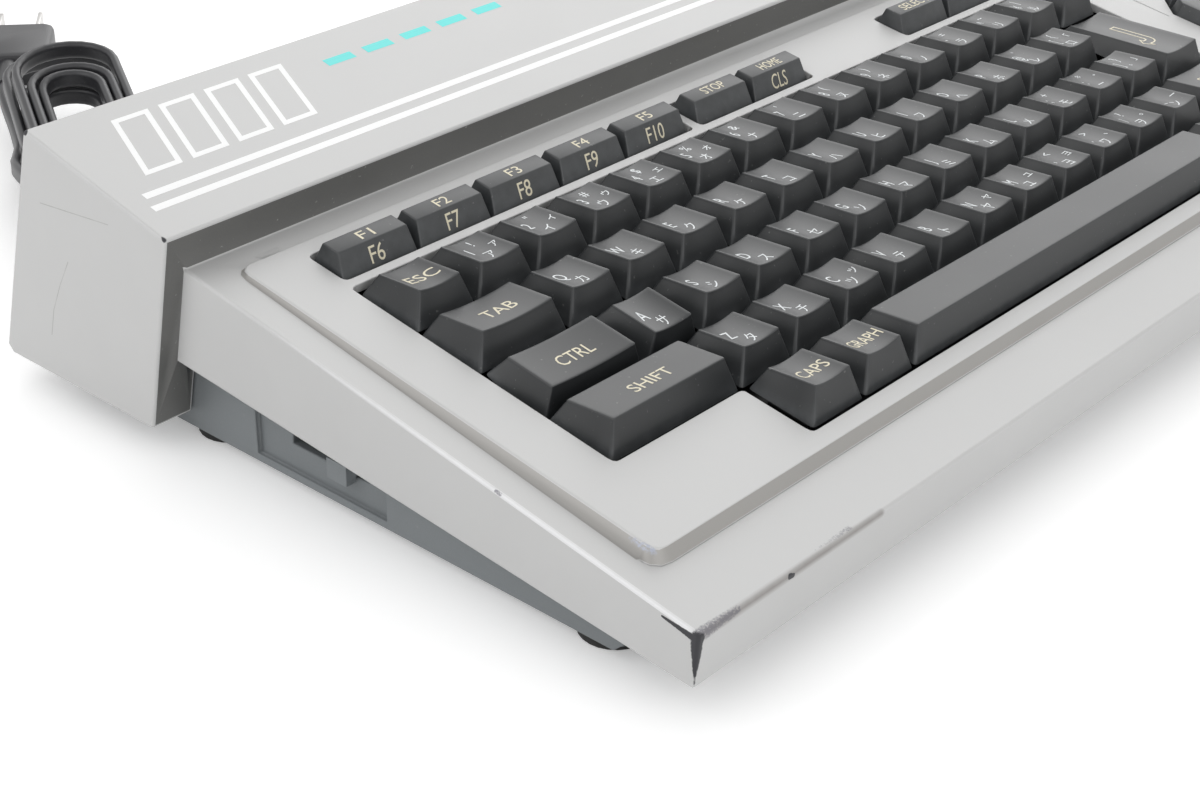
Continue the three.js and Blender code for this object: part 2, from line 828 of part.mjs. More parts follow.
function plateBosses() {
  const xs = [plateLeft + plateBossInset, plateRight - plateBossInset];
  const places = xs.flatMap((x) => [plateBossFrontY, plateBossRearY].map((y) => [x, y]));
  return places.map(([x, y]) => {
    const low = plateTopZ + seatGap;
    const high = frameTopZ - caseWall / 2;
    return inKeyFrame(cylinderAlong(alongZ, postRadius, high - low, new THREE.Vector3(x, y, (low + high) / 2)));
  });
}

function ventSlots() {
  const slots = [];
  for (let i = 0; i < ventCount; i += 1) {
    const x = ventFirstX + i * ventPitch;
    slots.push(block(x, x + ventWidth, panelY, boxRearFootY, ventLowZ, ventHighZ));
  }
  return slots;
}

// The wall is thick behind the joystick sockets, so that their flanges seat inside it.
function stickPad() {
  const low = Math.min(...stickZs) - stickFlangeHeight / 2;
  const high = Math.max(...stickZs) + stickFlangeHeight / 2;
  return block(boxHalfWidth - stickSeatDepth, boxHalfWidth - caseWall / 2,
    stickY - stickFlangeLength / 2, stickY + stickFlangeLength / 2, low, high);
}

function stickHoles() {
  const halfY = stickLength / 2 + guideClearance;
  const halfZ = stickHeight / 2 + guideClearance;
  return stickZs.map((z) => (
    block(boxHalfWidth - stickSeatDepth - cutOverrun, boxHalfWidth + cutOverrun,
      stickY - halfY, stickY + halfY, z - halfZ, z + halfZ)));
}

function upperCaseSolid() {
  const outer = join([
    sideProfile(deckProfile(), -deckHalfWidth, deckHalfWidth),
    sideProfile(boxProfile(0), -boxHalfWidth, boxHalfWidth),
    frameSolid(),
  ]);
  const shell = cut(outer, [deckRoom(), tubPassage(), boxRoom(), frameUnderCut()]);
  const boxBody = sideProfile(boxProfile(0), -boxHalfWidth, boxHalfWidth);
  const well = wellBlock(cartridgeWellWall, cartridgeWellFootZ, boxTopRearZ).intersect(boxBody);
  const returns = windowReturns().intersect(boxBody);
  const full = join([shell, well, returns, stickPad(), ...upperPosts(), ...plateBosses()]);
  return cut(full, [
    wellBlock(0, 0, boxTopRearZ + cutOverrun), windowCut(), ...deckOpenings(), grooveCut(),
    ...ventSlots(), ...stickHoles(), ...flapPinHoles(),
  ]);
}

// Cartridge flap, hinged along the rear edge of the well and lying in the box's top

function boxTopSlope() {
  return Math.atan2(boxTopRearZ - boxTopFrontZ, boxTopRearY - boxTopFrontY);
}

function boxTopAt(y) {
  return boxTopFrontZ + (y - boxTopFrontY) * Math.tan(boxTopSlope());
}

function flapPivot() {
  const y = cartridgeY + cartridgeDepth / 2 - flapClearance - flapPinRadius - flapPinReach;
  return new THREE.Vector3(cartridgeX, y, boxTopAt(y) - flapThickness);
}

function flapSolid() {
  const pivot = flapPivot();
  const front = cartridgeY - cartridgeDepth / 2 + flapClearance;
  const rear = pivot.y + flapPinRadius;
  const profile = outline([
    [front, boxTopAt(front) - flapThickness], [rear, boxTopAt(rear) - flapThickness],
    [rear, boxTopAt(rear) - guideClearance], [front, boxTopAt(front) - guideClearance],
  ]);
  const half = cartridgeWidth / 2 - flapClearance;
  const leaf = sideProfile(profile, cartridgeX - half, cartridgeX + half);
  const pin = cylinderAlong(alongX, flapPinRadius, 2 * (half + flapClearance + flapPinReach), pivot);
  return leaf.add(pin);
}

function flapPinHoles() {
  const pivot = flapPivot();
  const length = cartridgeWidth + 2 * (flapPinReach + guideClearance);
  return [cylinderAlong(alongX, flapPinRadius + guideClearance, length, pivot)];
}

// Lower case

function tubProfile(inset) {
  const low = tubFootZ + inset;
  const front = tubFrontY + inset;
  const rear = panelY - inset;
  const bevel = tubFrontBevel - inset * Math.tan(Math.PI / 8);
  const topAt = (y) => deckUnderZ(y) + tubRiseInCase + (inset > 0 ? cutOverrun : 0);
  const panelTop = panelTopZ + (inset > 0 ? cutOverrun : 0);
  return outline([
    [front + bevel, low], [rear, low], [rear, panelTop], [panelY - caseWall - inset, panelTop],
    [panelY - caseWall - inset, topAt(panelY)], [front, topAt(front)], [front, low + bevel],
  ]);
}

function footPlaces() {
  const x = tubHalfWidth - footInset;
  return [
    { name: 'foot_front_left', x: -x, y: footFrontY }, { name: 'foot_front_right', x, y: footFrontY },
    { name: 'foot_rear_left', x: -x, y: footRearY }, { name: 'foot_rear_right', x, y: footRearY },
  ];
}

function footSolid(place, radius, z0, z1) {
  return cylinderAlong(alongZ, radius, z1 - z0, new THREE.Vector3(place.x, place.y, (z0 + z1) / 2));
}

function footSeats() {
  return footPlaces().map((place) => (
    footSolid(place, footRadius + footSeatClearance, 0, tubFootZ + footSeatDepth)));
}

function lowerPosts() {
  return postPlaces().map(({ x, y }) => {
    const high = postMeetZ - seatGap;
    const low = tubFootZ + tubWall / 2;
    return cylinderAlong(alongZ, postRadius, high - low, new THREE.Vector3(x, y, (high + low) / 2));
  });
}

function boardSeats() {
  const xs = [boardLeft + postRadius * 2, (boardLeft + boardRight) / 2, boardRight - postRadius * 2];
  const ys = [boardFrontY + postRadius * 2, boardRearY - postRadius * 4];
  const high = boardZ - seatGap;
  const low = tubFootZ + tubWall / 2;
  return xs.flatMap((x) => ys.map((y) => (
    cylinderAlong(alongZ, postRadius, high - low, new THREE.Vector3(x, y, (high + low) / 2)))));
}

function switchPad() {
  const left = -tubHalfWidth + switchRecessDepth;
  return block(left, left + tubWall, switchRecessFrontY - tubWall, switchRecessRearY + tubWall,
    tubFootZ + tubWall / 2, deckUnderZ(switchRecessFrontY));
}

function switchRecess() {
  return block(-tubHalfWidth - cutOverrun, -tubHalfWidth + switchRecessDepth,
    switchRecessFrontY, switchRecessRearY, switchRecessFootZ, deckUnderZ(switchRecessRearY) + 2 * tubRiseInCase);
}

function switchSlot() {
  return block(-tubHalfWidth, -tubHalfWidth + switchRecessDepth + tubWall + cutOverrun,
    switchSlotFrontY, switchSlotRearY, switchSlotFootZ, switchSlotFootZ + switchSlotHeight);
}

function panelHoles() {
  const through = 2 * tubWall + cutOverrun;
  const round = jacks.map(({ x }) => (
    cylinderAlong(alongY, jackRadius + guideClearance, through, new THREE.Vector3(x, panelY, jackZ))));
  const din = cylinderAlong(alongY, dinRadius + guideClearance, through, new THREE.Vector3(dinX, panelY, jackZ));
  const relief = cylinderAlong(alongY, reliefRadius + guideClearance, through, new THREE.Vector3(reliefX, panelY, reliefZ));
  const half = printerWidth / 2 + guideClearance;
  const tall = printerHeight / 2 + guideClearance;
  const printer = block(printerX - half, printerX + half, panelY - through / 2, panelY + cutOverrun, jackZ - tall, jackZ + tall);
  return [...round, din, relief, printer];
}

function bottomVents() {
  const slots = [];
  for (let i = 0; i < ventCount; i += 1) {
    const x = bottomVentFirstX + i * ventPitch;
    slots.push(block(x, x + ventWidth, bottomVentFrontY, bottomVentRearY, 0, tubFootZ + tubWall + cutOverrun));
  }
  return slots;
}

function lowerCaseSolid() {
  const outer = sideProfile(tubProfile(0), -tubHalfWidth, tubHalfWidth);
  const inner = sideProfile(tubProfile(tubWall), -tubHalfWidth + tubWall, tubHalfWidth - tubWall);
  const tub = join([outer.subtract(inner), switchPad(), ...lowerPosts(), ...boardSeats(), ...footSeatPads()]);
  return cut(tub, [switchRecess(), switchSlot(), ...footSeats(), ...panelHoles(), ...bottomVents()]);
}

function footSeatPads() {
  return footPlaces().map((place) => (
    footSolid(place, footRadius + footSeatClearance + tubWall, tubFootZ, tubFootZ + footSeatDepth + tubWall)
      .intersect(block(-tubHalfWidth, tubHalfWidth, 0, panelY, 0, panelTopZ))));
}

// Power switch

function leverSolid() {
  const wallOuter = -tubHalfWidth + switchRecessDepth;
  const wallInner = wallOuter + tubWall;
  const low = switchSlotFootZ + guideClearance;
  const high = switchSlotFootZ + switchSlotHeight - guideClearance;
  const rear = leverFrontY + leverLength;
  const neck = block(wallOuter - leverReach, wallInner + guideClearance, leverFrontY, rear, low, high);
  const cap = block(wallOuter - leverReach, wallOuter - guideClearance, leverFrontY, rear,
    low - leverCapOverlap, high);
  const shutter = block(wallInner + guideClearance, wallInner + guideClearance + leverShutterThickness,
    leverFrontY - leverLength, rear + leverLength, low - leverCapOverlap, high + leverCapOverlap);
  return join([neck, cap, shutter]);
}

function switchBodySolid() {
  const inner = -tubHalfWidth + switchRecessDepth + tubWall + 2 * guideClearance + leverShutterThickness;
  const middle = leverFrontY + (leverLength + leverTravel) / 2;
  const centreZ = switchSlotFootZ + switchSlotHeight / 2;
  const half = switchBodyLength / 2;
  const low = Math.max(centreZ - switchBodyHeight / 2, tubFootZ + tubWall + seatGap);
  return block(inner, inner + switchBodyDepth, middle - half, middle + half, low, centreZ + switchBodyHeight / 2);
}

// Inside

function mainBoardSolid() {
  const board = block(boardLeft, boardRight, boardFrontY, boardRearY, boardZ, boardZ + boardThickness);
  return join([board, ...chipRow(largeChips), ...chipRow(smallChips)]);
}

function chipRow({ count, firstX, pitch, y, length, width }) {
  const chips = [];
  const high = boardThickness + chipHeight;
  for (let i = 0; i < count; i += 1) {
    chips.push(boxAt(firstX + i * pitch, y, boardZ + high / 2, length, width, high));
  }
  return chips;
}

function cartridgeConnectorSolid() {
  const low = boardZ + boardThickness + seatGap;
  const body = block(cartridgeX - connectorWidth / 2 - connectorDepth / 2, cartridgeX + connectorWidth / 2 + connectorDepth / 2,
    cartridgeY - connectorDepth / 2, cartridgeY + connectorDepth / 2, low, connectorTopZ);
  const slot = block(cartridgeX - connectorWidth / 2, cartridgeX + connectorWidth / 2,
    cartridgeY - connectorSlotWidth / 2, cartridgeY + connectorSlotWidth / 2, low + tubWall, connectorTopZ + cutOverrun);
  return body.subtract(slot);
}

function boxAt(x, y, z, width, depth, height) {
  return block(x - width / 2, x + width / 2, y - depth / 2, y + depth / 2, z - height / 2, z + height / 2);
}

function transformerSolid() {
  const middleZ = tubFootZ + tubWall + seatGap + coreHeight / 2;
  const core = boxAt(transformerX, transformerY, middleZ, coreWidth, coreDepth, coreHeight);
  const coil = boxAt(transformerX, transformerY, middleZ, coilWidth, coilDepth, coilHeight);
  return core.add(coil);
}

// Rear sockets

function jackSolid(x) {
  const innerY = panelY - tubWall - seatGap;
  const half = jackBodyWidth / 2;
  const body = block(x - half, x + half, innerY - jackBodyDepth, innerY, boardZ + boardThickness + seatGap, jackZ + half);
  const barrelLength = jackReach + tubWall + seatGap + cutOverrun;
  const barrelEnd = panelY + jackReach;
  const barrel = cylinderAlong(alongY, jackRadius, barrelLength, new THREE.Vector3(x, barrelEnd - barrelLength / 2, jackZ));
  const bore = cylinderAlong(alongY, jackBore, 2 * jackReach, new THREE.Vector3(x, barrelEnd, jackZ));
  return body.add(barrel).subtract(bore);
}

function dinSolid() {
  const innerY = panelY - tubWall - seatGap;
  const body = block(dinX - dinRadius - caseWall, dinX + dinRadius + caseWall, innerY - dinBodyDepth, innerY,
    boardZ + boardThickness + seatGap, jackZ + dinRadius + caseWall);
  const length = tubWall + seatGap + cutOverrun;
  const collar = cylinderAlong(alongY, dinRadius, length, new THREE.Vector3(dinX, panelY - length / 2, jackZ));
  const bore = cylinderAlong(alongY, dinBore, 2 * dinBoreDepth, new THREE.Vector3(dinX, panelY, jackZ));
  return body.add(collar).subtract(bore);
}

function printerSolid() {
  const innerY = panelY - tubWall - seatGap;
  const half = printerWidth / 2;
  const tall = printerHeight / 2;
  const body = block(printerX - half - caseWall, printerX + half + caseWall, innerY - printerBodyDepth, innerY,
    boardZ + boardThickness + seatGap, jackZ + tall + caseWall);
  const shroud = block(printerX - half, printerX + half, innerY - cutOverrun, panelY + printerReach,
    jackZ - tall, jackZ + tall);
  const mouth = block(printerX - half + printerWall, printerX + half - printerWall, innerY, panelY + printerReach + cutOverrun,
    jackZ - tall + printerWall, jackZ + tall - printerWall);
  const tongue = block(printerX - half + 2 * printerTongue, printerX + half - 2 * printerTongue, innerY - cutOverrun,
    panelY + printerReach - printerWall, jackZ - printerTongue / 2, jackZ + printerTongue / 2);
  return body.add(shroud).subtract(mouth).add(tongue);
}

// Joystick sockets

function stickOutline(inset) {
  const halfY = stickLength / 2 - inset;
  const halfZ = stickHeight / 2 - inset;
  return outline([
    [-halfY + stickSlant, -halfZ], [halfY - stickSlant, -halfZ], [halfY, halfZ], [-halfY, halfZ],
  ]);
}

function stickSolid(z) {
  const seatX = boxHalfWidth - stickSeatDepth - seatGap;
  const backX = seatX - stickFlangeThickness;
  const place = (points) => points.map((point) => point.add(new THREE.Vector2(stickY, z)));
  const shell = sideProfile(place(stickOutline(0)), backX, boxHalfWidth - seatGap);
  const mouth = sideProfile(place(stickOutline(stickWall)), seatX, boxHalfWidth);
  const flange = block(backX, seatX, stickY - stickFlangeLength / 2, stickY + stickFlangeLength / 2,
    z - stickFlangeHeight / 2, z + stickFlangeHeight / 2);
  const back = block(backX - stickBackDepth, backX, stickY - stickLength / 2, stickY + stickLength / 2,
    z - stickHeight / 2, z + stickHeight / 2);
  return join([shell, flange, back]).subtract(mouth);
}

// Mains lead

function reliefSolid() {
  const start = panelY - tubWall - seatGap - caseWall;
  const profile = outline([
    [0, start], [reliefFlange, start], [reliefFlange, start + caseWall], [reliefRadius, start + caseWall],
    [reliefRadius, panelY + caseWall], [reliefTipRadius, panelY + reliefReach], [0, panelY + reliefReach],
  ]);
  const geometry = new THREE.LatheGeometry(profile, roundSegments);
  geometry.translate(reliefX, 0, reliefZ);
  return toSolid(geometry);
}

function hankMatrix() {
  const along = new THREE.Vector3(
    Math.cos(hankHeading) * Math.cos(hankTilt), Math.sin(hankHeading) * Math.cos(hankTilt), Math.sin(hankTilt),
  );
  const across = new THREE.Vector3(-Math.sin(hankHeading), Math.cos(hankHeading), 0);
  const up = along.clone().cross(across);
  return new THREE.Matrix4().makeBasis(along, across, up).setPosition(hankCentre);
}

// How many turns lie outside this one: in and out again, a layer for each stretch.
function hankStepsIn(turn) {
  const phase = (turn / hankTurnsPerLayer) % 2;
  return (1 - Math.abs(1 - phase)) * hankTurnsPerLayer;
}

// The outermost fold stands out; those inside it are gathered together.
function hankGathered(turn) {
  return hankGather * Math.sin(Math.PI / 2 * Math.min(hankStepsIn(turn) / hankGatherTurns, 1));
}

function hankLayer(turn) {
  const layer = Math.round(turn / hankTurnsPerLayer);
  const climb = THREE.MathUtils.clamp((turn - layer * hankTurnsPerLayer) * 2 + 0.5, 0, 1);
  const layers = hankTurns / hankTurnsPerLayer;
  const atEnd = layer === 0 || layer === layers;
  return atEnd ? Math.min(layer, layers - 1) : layer - 1 + climb;
}

function hankPoint(turn) {
  const radius = hankOuterRadius - hankStepsIn(turn) * hankPitch;
  const reach = hankStraight / 2 - hankGathered(turn);
  const part = (turn % 1) * 6;
  const z = hankLayer(turn) * hankLayerPitch;
  if (part < 1) return new THREE.Vector3(-reach + 2 * reach * part, radius, z);
  if (part < 3) {
    const angle = Math.PI / 2 - (part - 1) / 2 * Math.PI;
    return new THREE.Vector3(reach + radius * Math.cos(angle), radius * Math.sin(angle), z);
  }
  if (part < 4) return new THREE.Vector3(reach - 2 * reach * (part - 3), -radius, z);
  const angle = -Math.PI / 2 - (part - 4) / 2 * Math.PI;
  return new THREE.Vector3(-reach + radius * Math.cos(angle), radius * Math.sin(angle), z);
}

function hankPoints() {
  const matrix = hankMatrix();
  const points = [];
  const steps = hankTurns * hankStepsPerTurn;
  for (let i = 0; i <= steps; i += 1) points.push(hankPoint(Math.min(i / hankStepsPerTurn, hankTurns - nearlyNothing)));
  const lead = 2 * cordHalfHeight;
  points.unshift(points[0].clone().add(new THREE.Vector3(-lead, 0, 0)));
  points.push(points[points.length - 1].clone().add(new THREE.Vector3(lead, 0, 0)));
  return points.map((point) => point.applyMatrix4(matrix));
}

// A flat cord on edge: a ring of section points at each path point, all joined into one tube.
function edgeCord(points, up, section) {
  const positions = [];
  const index = [];
  points.forEach((point, i) => {
    const before = points[Math.max(i - 1, 0)];
    const after = points[Math.min(i + 1, points.length - 1)];
    const tangent = after.clone().sub(before).normalize();
    const side = tangent.clone().cross(up).normalize();
    const rise = side.clone().cross(tangent);
    section.forEach(([across, high]) => {
      const place = point.clone().addScaledVector(side, across).addScaledVector(rise, high);
      positions.push(place.x, place.y, place.z);
    });
  });
  const sides = section.length;
  for (let ring = 0; ring < points.length - 1; ring += 1) {
    for (let k = 0; k < sides; k += 1) {
      const a = ring * sides + k;
      const b = ring * sides + (k + 1) % sides;
      index.push(a, b + sides, b, a, a + sides, b + sides);
    }
  }
  const last = (points.length - 1) * sides;
  for (let k = 1; k < sides - 1; k += 1) {
    index.push(0, k, k + 1);
    index.push(last, last + k + 1, last + k);
  }
  const geometry = new THREE.BufferGeometry();
  geometry.setAttribute('position', new THREE.Float32BufferAttribute(positions, 3));
  geometry.setIndex(index);
  return geometry;
}

function hexSection() {
  const shoulder = cordHalfHeight / 2;
  return [
    [cordHalfThickness, -shoulder], [cordHalfThickness, shoulder], [0, cordHalfHeight],
    [-cordHalfThickness, shoulder], [-cordHalfThickness, -shoulder], [0, -cordHalfHeight],
  ];
}

function hankGeometry() {
  const up = new THREE.Vector3(0, 0, 1).transformDirection(hankMatrix());
  const points = hankPoints();
  reportHankGap(points);
  return edgeCord(points, up, hexSection());
}

// Least distance between stretches of the hank that aren't next to each other.
function reportHankGap(points) {
  let least = Infinity;
  points.forEach((a, i) => {
    for (let j = i + hankStepsPerTurn / 2; j < points.length; j += 1) least = Math.min(least, a.distanceTo(points[j]));
  });
  console.log(`hank: least centre distance ${least.toFixed(2)} mm, gap ${(least - 2 * cordHalfThickness).toFixed(2)} mm`);
}

function cordLength(points) {
  return points.slice(1).reduce((sum, point, i) => sum + point.distanceTo(points[i]), 0);
}

// The free lead's section: x runs up the cord, y across it.
function ovalSection() {
  const section = new THREE.Shape();
  for (let i = 0; i < ovalSides; i += 1) {
    const angle = (i + 0.5) / ovalSides * 2 * Math.PI;
    const x = cordHalfHeight * Math.cos(angle);
    const y = cordHalfThickness * Math.sin(angle);
    if (i === 0) section.moveTo(x, y);
    else section.lineTo(x, y);
  }
  section.closePath();
  return section;
}

// The lead's route from the case into the hank, and from the hank to the plug.
function cordRoute(name) {
  const matrix = hankMatrix();
  const lead = 2 * cordHalfHeight + cordEndGap;
  const along = new THREE.Vector3(1, 0, 0).transformDirection(matrix);
  if (name === 'power_cord') {
    const start = new THREE.Vector3(reliefX, panelY + reliefReach + cordEndGap, reliefZ);
    const entry = hankPoint(0).applyMatrix4(matrix).addScaledVector(along, -lead);
    return [
      start, start.clone().add(new THREE.Vector3(0, cordRunIn, 0)),
      entry.clone().addScaledVector(along, -cordRunIn), entry,
    ];
  }
  const exit = hankPoint(hankTurns - nearlyNothing).applyMatrix4(matrix).addScaledVector(along, lead);
  const tail = plugPoint(-plugLength - plugTailLength - cordEndGap);
  return [
    exit, exit.clone().addScaledVector(along, cordRunIn), ...cordToPlug,
    tail.clone().addScaledVector(plugDirection(), -cordRunIn), tail,
  ];
}

function cordGeometry(name) {
  const curve = new THREE.CatmullRomCurve3(cordRoute(name), false, 'centripetal');
  const steps = Math.ceil(curve.getLength() / (2 * cordHalfHeight));
  console.log(`${name}: ${curve.getLength().toFixed(0)} mm in ${steps} steps`);
  return new THREE.ExtrudeGeometry(ovalSection(), { steps, bevelEnabled: false, extrudePath: curve });
}

function plugDirection() {
  return new THREE.Vector3(Math.cos(plugHeading), Math.sin(plugHeading), 0);
}

function plugPoint(along) {
  return plugFront.clone().add(plugDirection().multiplyScalar(along));
}

// The plug is modelled pointing along +X and then turned to its heading.
function plugSolid() {
  const half = plugWidth / 2;
  const tall = plugHeight / 2;
  const body = prism(rounded(rectangle(-plugLength, 0, -half, half), plugCorner), -tall, tall);
  const tail = new THREE.CylinderGeometry(plugTailRadius * plugTailTipShare, plugTailRadius, plugTailLength + plugCorner, roundSegments / 2);
  tail.rotateZ(Math.PI / 2);
  tail.translate(-plugLength - (plugTailLength - plugCorner) / 2, 0, 0);
  const blades = [-1, 1].map((side) => {
    const y = side * bladeSpacing / 2;
    return block(-plugCorner, bladeLength, y - bladeThickness / 2, y + bladeThickness / 2, -bladeWidth / 2, bladeWidth / 2);
  });
  return join([body, toSolid(tail), ...blades]);
}

function placed(solid, position, heading) {
  return solid.rotate([0, 0, THREE.MathUtils.radToDeg(heading)]).translate([position.x, position.y, position.z]);
}

// Materials

function paint(colour, roughness, metalness) {
  return new THREE.MeshStandardMaterial({ color: colour, roughness, metalness, flatShading: true });
}

const silverPaint = paint(0xa9a8a5, 0.45, 0.35);
const greyPlastic = paint(0x646c72, 0.55, 0);
const blackKeyPlastic = paint(0x2c2f31, 0.5, 0);
const plateBlack = paint(0x17181a, 0.7, 0);
const rubber = paint(0x1b1b1c, 0.85, 0);
const boardGreen = paint(0x2f5a3a, 0.6, 0);
const steel = paint(0x9a9b9d, 0.4, 0.9);
const beigePlastic = paint(0xcfcab8, 0.6, 0);
const cordBlack = paint(0x202123, 0.6, 0);
const brass = paint(0xc9b877, 0.35, 1);

const computer = new THREE.Group();
computer.name = 'home_computer';

function addPart(parent, name, geometry, material) {
  const mesh = new THREE.Mesh(geometry, material);
  mesh.name = name;
  parent.add(mesh);
  return mesh;
}

const machine = new THREE.Group();
machine.position.y = -boxRearFootY / 2;
computer.add(machine);

const keyboard = new THREE.Group();
keyboard.applyMatrix4(keyFrame);
machine.add(keyboard);

addPart(machine, 'upper_case', toGeometry(upperCaseSolid()), silverPaint);
addPart(machine, 'lower_case', toGeometry(lowerCaseSolid()), greyPlastic);
footPlaces().forEach((place) => {
  addPart(machine, place.name, toGeometry(footSolid(place, footRadius, 0, footHeight)), rubber);
});
addPart(machine, 'cartridge_flap', toGeometry(flapSolid()), silverPaint);
addPart(machine, 'power_lever', toGeometry(leverSolid()), greyPlastic);
addPart(machine, 'power_switch', toGeometry(switchBodySolid()), plateBlack);
addPart(machine, 'main_board', toGeometry(mainBoardSolid()), boardGreen);
addPart(machine, 'cartridge_connector', toGeometry(cartridgeConnectorSolid()), plateBlack);
addPart(machine, 'transformer', toGeometry(transformerSolid()), steel);
jacks.forEach(({ name, x }) => addPart(machine, name, toGeometry(jackSolid(x)), steel));
addPart(machine, 'cassette_socket', toGeometry(dinSolid()), plateBlack);
addPart(machine, 'printer_socket', toGeometry(printerSolid()), plateBlack);
stickZs.forEach((z, i) => addPart(machine, `joystick_socket_${i + 1}`, toGeometry(stickSolid(z)), steel));
addPart(keyboard, 'key_plate', toGeometry(keyPlateSolid()), plateBlack);

movingKeys.forEach((key) => {
  const place = keyPlace(key.at, key.row);
  const mesh = addPart(keyboard, key.name, toGeometry(keySolid(key)), blackKeyPlastic);
  mesh.position.set(place.x, place.y, place.lift);
});
barKeys.forEach((key) => {
  const mesh = addPart(keyboard, key.name, toGeometry(barKeySolid()), blackKeyPlastic);
  mesh.position.x = barKeyLeft + key.offset;
});
cursorKeys.forEach((name, turn) => {
  addPart(keyboard, name, toGeometry(cursorKeySolid(turn)), blackKeyPlastic);
});

addPart(machine, 'cord_relief', toGeometry(reliefSolid()), rubber);
addPart(machine, 'power_cord', cordGeometry('power_cord'), cordBlack);
addPart(machine, 'cord_hank', hankGeometry(), cordBlack);
addPart(machine, 'plug_cord', cordGeometry('plug_cord'), cordBlack);
addPart(machine, 'plug', toGeometry(placed(plugSolid(), plugFront, plugHeading)), rubber);

console.log(`hank length ${cordLength(hankPoints()).toFixed(0)} mm`);

export default computer;
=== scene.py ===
import math

import bmesh
import bpy
from mathutils import Matrix, Vector


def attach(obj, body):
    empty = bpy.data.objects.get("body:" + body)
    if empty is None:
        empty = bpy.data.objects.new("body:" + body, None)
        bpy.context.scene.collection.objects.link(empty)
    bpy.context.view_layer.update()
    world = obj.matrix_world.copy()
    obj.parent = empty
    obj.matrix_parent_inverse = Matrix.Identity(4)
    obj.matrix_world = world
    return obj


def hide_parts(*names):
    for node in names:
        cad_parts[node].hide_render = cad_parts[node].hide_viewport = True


# Lengths are in millimetres in the machine's own frame: x to the right, y from its front edge
# to the back, z up from the desk. MACHINE brings them to the shared frame, in metres.
MM = 0.001
FRONT_EDGE_Y = -105
MACHINE = Matrix.Scale(MM, 4) @ Matrix.Translation((0, FRONT_EDGE_Y, 0))

# Keyboard
KEY_SLOPE = math.radians(9.4)
KEY_PLANE = (-171, 26.7, 36.3)
KEYS = MACHINE @ Matrix.Translation(KEY_PLANE) @ Matrix.Rotation(KEY_SLOPE, 4, "X")
KEY_PITCH = 19.05
TOP_SIDE_INSET = 3.275
BASE_SIDE_INSET = 0.43
TOP_DEPTH = 12.9
TOP_FALL = 2.7
BASE_FORWARD = 3.4
BASE_DEPTH = 18
SKIRT_DROP = 8
DISH_SAG = 0.85
DISH_MARGIN = 0.25
CAP_WALL = 1.3
CAP_CEILING = 2.75
ROW_LIFT = [0.2, 0.1, -0.3, -0.5, 0.5]
ROW_SHIFT = [-0.3, -0.2, 0, 0.4, 0]
TALL_FALL_SHARE = 0.75
LONG_KEY_UNITS = 4
LOOSE_LEAN = math.radians(12.5)
LOOSE_SINK = 0.6
LOOSE_PIVOT_Z = -9
TOP_EDGE_ROUND = 0.38
TOP_CORNER = 0.55
BASE_CORNER = 1.0
EDGE_ARC_STEPS = 3
CORNER_STEPS = 4
LONG_SIDE_STEPS = 10
DEEP_SIDE_STEPS = 4
SIDE_SHARES = [0.04, 0.3, 0.65, 1]
TOP_RING_SHARES = [0.12, 0.3, 0.5, 0.7, 0.88]
LEAST_CORNER = 0.05

# Stems, housings and their plate
STEM_HALF = 2.2
STEM_END_Z = -8.8
WELL_HALF = 2.45
WELL_FLOOR_Z = -12.88
HOUSING_HALF = 5.5
BAR_HOUSING_HALF_DEPTH = 4
HOUSING_TOP_Z = -10.2
BAR_HOUSING_TOP_Z = -11.9
HOUSING_BOTTOM_Z = -18.2
PLATE_X = (-16, 359)
PLATE_Y = (-7.5, 109)
PLATE_Z = (-14.5, -12.9)
HOUSING_ROUND = 0.5

# Bar keys
BAR_PITCH = 24.1
BAR_GAP = 0.7
BAR_LEFT = -3.1
BAR_BASE_Y = (95.2, 106.4)
BAR_TOP_Y = (99.4, 104.6)
BAR_TOP_Z = -2
BAR_BASE_Z = -9
BAR_TAPER = 1.2
BAR_STOP_OFFSET = 123.9
BAR_SELECT_OFFSET = 216.8

# Cursor keys
CURSOR_CENTRE = (324.2, 43.4)
CURSOR_FLATS = 46.4
CURSOR_CHAMFER = 10.3
CURSOR_CLEARANCE = 0.7
CURSOR_GAP = 1.1
CURSOR_TAPER = 1.5
CURSOR_TOP_Z = -2.6
CURSOR_HUB = 5
CURSOR_STEM_REACH = 16.3

# Mains lead
CORD_THICK = 2.7
CORD_TALL = 5.4
RELIEF_TIP = (-172, 222.3, 18)
CORD_RUN_IN = 6
CORD_GAP = 0.3
HANK_CENTRE = (-119.8, 291.9, 10.2)
HANK_HEADING = math.radians(61.9)
HANK_TILT = math.radians(6)
HANK_STRAIGHT = 97
HANK_OUTER_RADIUS = 16.8
HANK_PITCH = 3.05
HANK_GATHER = 24
HANK_GATHER_TURNS = 2.2
HANK_LAYER_PITCH = 6.2
HANK_TURNS = 6
HANK_TURNS_PER_LAYER = 3
HANK_STEPS_PER_TURN = 36
CORD_TO_PLUG = [
    (-142.9, 293.4, 10.4), (-134.9, 305, 7.2), (-126, 317.3, 4.2), (-116.6, 333.1, 3.4),
]
PLUG_FRONT = (-73.2, 391.8, 5.85)
PLUG_HEADING = math.radians(49.7)
PLUG_LENGTH = 30
PLUG_WIDTH = 25
PLUG_HEIGHT = 11
PLUG_TAIL = 15
BLADE_SPACING = 12.7
BLADE_LENGTH = 17
BLADE_WIDTH = 6.3
BLADE_THICK = 1.5

